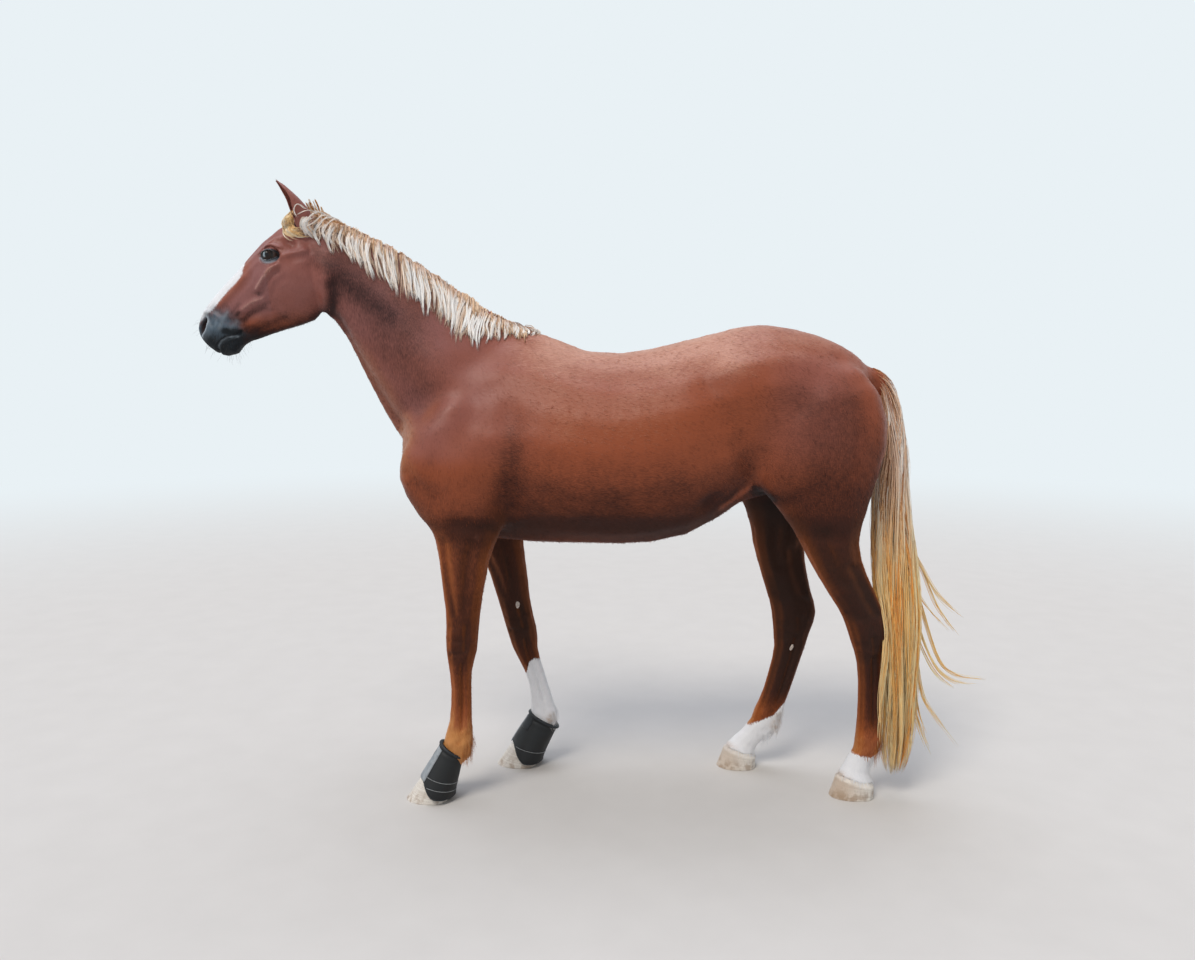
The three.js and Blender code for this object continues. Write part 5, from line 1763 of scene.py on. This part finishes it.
def looks(found, chosen, shade, amount, middle):
    """The skin's values for the chosen tufts, each a little darker or paler by its shade."""
    values = {key: found[key][chosen] for key in SHOWN}
    values["tone"] = values["tone"] + amount * (shade - middle)
    return dict(values, shade=shade)


def tufts(name, at, normal, lie, length, lift, width, values, rows=3, droop=0.0):
    t = np.linspace(0, 1, rows)[None, :, None]
    length, lift, droop = (np.broadcast_to(measure, len(at))[:, None, None]
                           for measure in (length, lift, droop))
    over = lift * np.sin(np.minimum(t * 1.25, 1) * math.pi / 2) - 0.6 * (1 - t)
    path = at[:, None] + lie[:, None] * length * t + normal[:, None] * over
    path[..., 2:] -= droop * length * t * t
    widths = np.broadcast_to(width, len(at))[:, None] * np.linspace(0.8, 1.0, rows)[None]
    piece = hairs(name, path, widths, normal[:, None], flat=0.3, smooth=False, **values)
    return wear(piece, coat_tufts, "coat")


def in_boot(x, z, margin):
    """Whether a place on a leg is under the collar of its boot."""
    near = np.interp(x, [-563, -485], [210, 157]) - z
    far = np.interp(x, [-264, -157], [210, 150]) - z
    return (x < 0) & (np.where(x < -425, near, far) > -margin)


# Tufts of the same hair, each a few dozen hairs that lie together.
def tufts_material():
    paint = coat_paint("horse_coat_hair_tufts")
    streak = paint.add("span", "shade", 0.0, 1.0, 0.3, 0.7)
    return paint.finish(coat_colour(paint, streak), None, coat_roughness(paint, streak))


coat_tufts = tufts_material()
SHORT_TRIED, LONG_TRIED = 44000, 150000  # places tried, of which the fitting ones are kept
at, normal, found = roots_on_skin(SHORT_TRIED)
x, y, z = at.T
lie = unit(lie_of(at, normal) + draw.normal(0, 0.05, at.shape))
lie = unit(lie - normal * np.sum(lie * normal, 1, keepdims=True))
head = in_head(at)
legs = ease(1000, 700, z)
length = 17 - 6.5 * legs - 5 * head - 4.5 * head * ease(-1120, -1260, x) - 4 * in_ears(at)
length = length * draw.uniform(0.75, 1.2, len(at))
width = np.where(head, 0.95, 1.4) - 0.3 * legs * ~head
width = width * draw.uniform(0.8, 1.25, len(at))
lift = (0.75 + 0.5 * draw.random(len(at))) * np.where(head, 0.8, 1.0)
bare = (from_eye(at) < 38) & (np.abs(y) > 40) | (found["pit"] > 0.05)
bare |= (found["dark"] > 0.6) & (draw.random(len(at)) < 0.6)
shade = draw.random(len(at))
for name, mine in (
    ("coat_tufts_head_and_neck", (x < -560) & (z > 1000)),
    ("coat_tufts_trunk", (x >= -560) & (x < 420) & (z > 1000)),
    ("coat_tufts_hindquarters", (x >= 420) & (z > 1000)),
    ("coat_tufts_legs", z <= 1000),
):
    mine = mine & ~bare & ~in_boot(x, z, 8)
    tufts(name, at[mine], normal[mine], lie[mine], length[mine], lift[mine], width[mine],
          looks(found, mine, shade[mine], 0.16, 0.4))

# Longer hair, where the coat breaks the outline of the body.
at, normal, found = roots_on_skin(LONG_TRIED)
x, y, z = at.T
nx, _, nz = normal.T
head = in_head(at)
hoof_top = np.full(len(x), -99.0)
for node in HOOVES:
    own = at_node(at, node, 20, 40, 300)
    hoof_top[own] = coronet_height(node, x[own])
chance = draw.random(len(x))
belly = (z > 860) & (z < 1100) & (np.abs(y) < 120) & (nz < -0.75) & (np.abs(x) < 480)
LONG_TUFTS = [
    # places, share kept, length, lift, droop
    ((z > 118) & (z < 240) & (nx > 0.25), 0.9, 32, 7, 0.45),
    ((z > 100) & (z < 190) & (nx > -0.2) & (nx <= 0.25), 0.4, 18, 3, 0.3),
    ((z - hoof_top > -6) & (z - hoof_top < 16) & (z < 130), 1.0, 22, 7, 0.35),
    ((z >= 240) & (z < 500) & (nx > 0.55), 0.5, 10, 1.6, 0.1),
    ((z > 700) & (z < 960) & (nx > 0.6), 0.35, 14, 2.4, 0.1),
    (head & (nz < -0.55) & (x > -1250), 0.4, 9, 1.4, 0.15),
    (belly, 0.3, 12, 1.5, 0.1),
    ((x > 400) & (x < 600) & (z > 1060) & (z < 1260) & (nz < 0.1), 0.25, 12, 1.5, 0.1),
    ((x > -480) & (x < -240) & (z > 930) & (z < 1030) & (nz < 0.1), 0.25, 12, 1.5, 0.1),
    ((x > 860) & (z > 1020) & (z < 1480) & (nx > 0.45), 0.3, 12, 1.8, 0.1),
    ((x < -600) & (x > -980) & (z > 1250) & (z < 1800) & (nx < -0.6), 0.25, 12, 1.8, 0.1),
    (in_ears(at) & (z > 2052) & (nx < -0.1), 0.5, 11, 2.6, 0.0),
]
keep = np.zeros(len(x), bool)
length, lift, droop = np.zeros((3, len(x)))
for places, share, long, high, hang in LONG_TUFTS:
    new = places & (chance < share) & ~keep & (found["pit"] < 0.05) & ~in_boot(x, z, 9)
    keep |= new
    length[new], lift[new], droop[new] = long, high, hang
lie = lie_of(at[keep], normal[keep])
lie = unit(lie + draw.normal(0, 0.16, lie.shape))
count = int(keep.sum())
values = looks(found, keep, draw.random(count), 0.6, 0.35)
values["tan_and_rim_light"] = np.clip(values["tan_and_rim_light"] + 0.25 * (z[keep] < 300), 0, 1)
length = length[keep] * draw.uniform(0.6, 1.25, count)
lift = lift[keep] * draw.uniform(0.5, 1.3, count)
width = 1.3 * draw.uniform(0.7, 1.2, count)
tufts("coat_tufts_long", at[keep], normal[keep], lie, length, lift, width, values, 4, droop[keep])

# Lashes over the eyes, and the feelers of the muzzle and chin.
t = np.linspace(0, 1, 6)[:, None]
paths = []
for side in (NEAR, FAR):
    for k in range(46):
        ox, oz = OPENING[int(round(np.interp(k, [0, 45], [1, 24])))]
        reach = np.hypot(ox - EYE_AT[0], oz - EYE_AT[2])
        oy = EYE_AT[1] + math.sqrt(max((EYE_R + 3) ** 2 - reach**2, 20))
        long = draw.uniform(13, 21)
        fan = 0.35 * (ox - EYE_AT[0]) / 30 - 0.1
        out = np.array([fan, side, -0.12]) + draw.normal(0, 0.1, 3)
        line = np.array([ox + draw.normal(0, 0.6), side * oy, oz + 1.5]) + out * long * t
        line[:, 2:] -= 0.38 * long * np.sin(math.pi * 0.5 * t) ** 2
        paths.append(line)
lashes = hairs("lashes", np.array(paths), taper(6, 1.0, 0.8, 0.3)[None], [0, 0.2, 1],
               shade=draw.uniform(0, 1, len(paths)))
paths = []
spots = (found["dark"] > 0.5) & (x < -1255) & (found["pit"] < 0.05) & (z < 1745)
spots = np.flatnonzero(spots & ((nz < 0.1) | (x < -1380)))
for i in draw.choice(spots, 84, replace=False):
    long = draw.uniform(14, 38)
    out = unit(normal[i] + [-0.15, 0, -0.35] + draw.normal(0, 0.15, 3))
    line = at[i] + out * long * t
    line[:, 2:] -= 0.3 * long * t * t
    paths.append(line)
feelers = hairs("muzzle_feelers", np.array(paths), taper(6, 0.6, 0.5, 0.25)[None], [0.3, 0.2, 1],
                shade=draw.uniform(0, 1, len(paths)))
paint = Paint("lash_and_feeler_dark_hair", Roughness=0.4, Specular_IOR_Level=0.4)
dark_hair = paint.finish(paint.add("mix", "shade", "#17120f", "#4a3a30"))
wear(lashes, dark_hair, "long_hair")
wear(feelers, dark_hair, "long_hair")

# ------------------------------------------------------------------ floor and light
FLOOR_HALF = 60.0
BACKDROP = "#e9f1f5"
bpy.ops.mesh.primitive_plane_add(size=2 * FLOOR_HALF, location=(0, 0, 0))
floor = bpy.context.object
floor.name = "studio_floor"
# A matt pale floor that turns into the plain backdrop some metres away from the horse.
paint = Paint("studio_floor_matt_pale", Roughness=0.9, Specular_IOR_Level=0.2)
grain = paint.grain(6, detail=4)
matt = paint.finish(paint.add("mix", grain, "#cfccc7", "#d6d3ce"))
flat = paint.add("placed", paint.add("place"), (1.0, 1.0, 0.0))
away = paint.add("length", flat)
glow = paint.add("glow", BACKDROP, 1.0)
share = paint.add("product", paint.seen(), paint.add("span", away, 3.5, 12.0))
both = paint.add("either", share, paint.shader.outputs[0], glow)
paint.put(paint.tree.nodes["Material Output"].inputs["Surface"], both)
floor.data.materials.append(matt)

studio = bpy.data.worlds.new("studio")
SCENE.world = studio
studio.use_nodes = True
sky = Nodes(studio.node_tree)
light = sky.tree.nodes["Background"]
sky.put(light.inputs["Color"], "#f0f5ff")
sky.put(light.inputs["Strength"], 0.36)
shown = sky.add("backdrop", BACKDROP, 1.0)
both = sky.add("either", sky.seen(), light.outputs[0], shown)
sky.put(sky.tree.nodes["World Output"].inputs["Surface"], both)


def lamp(name, direction, spread, power, tint="#ffffff"):
    """A far, soft lamp that shines along a direction, as wide as spread degrees."""
    bpy.ops.object.light_add(type="SUN", location=(0, 0, 5))
    light = bpy.context.object
    light.name = name
    light.data.angle = math.radians(spread)
    light.data.energy = power
    light.data.color = colour(tint)[:3]
    light.rotation_euler = Vector(direction).to_track_quat("-Z", "Y").to_euler()


lamp("key", (0.4, 0.62, -1.0), 24, 1.5, "#fff8f0")
lamp("top", (0.05, -0.2, -1.0), 50, 1.5, "#edf2ff")
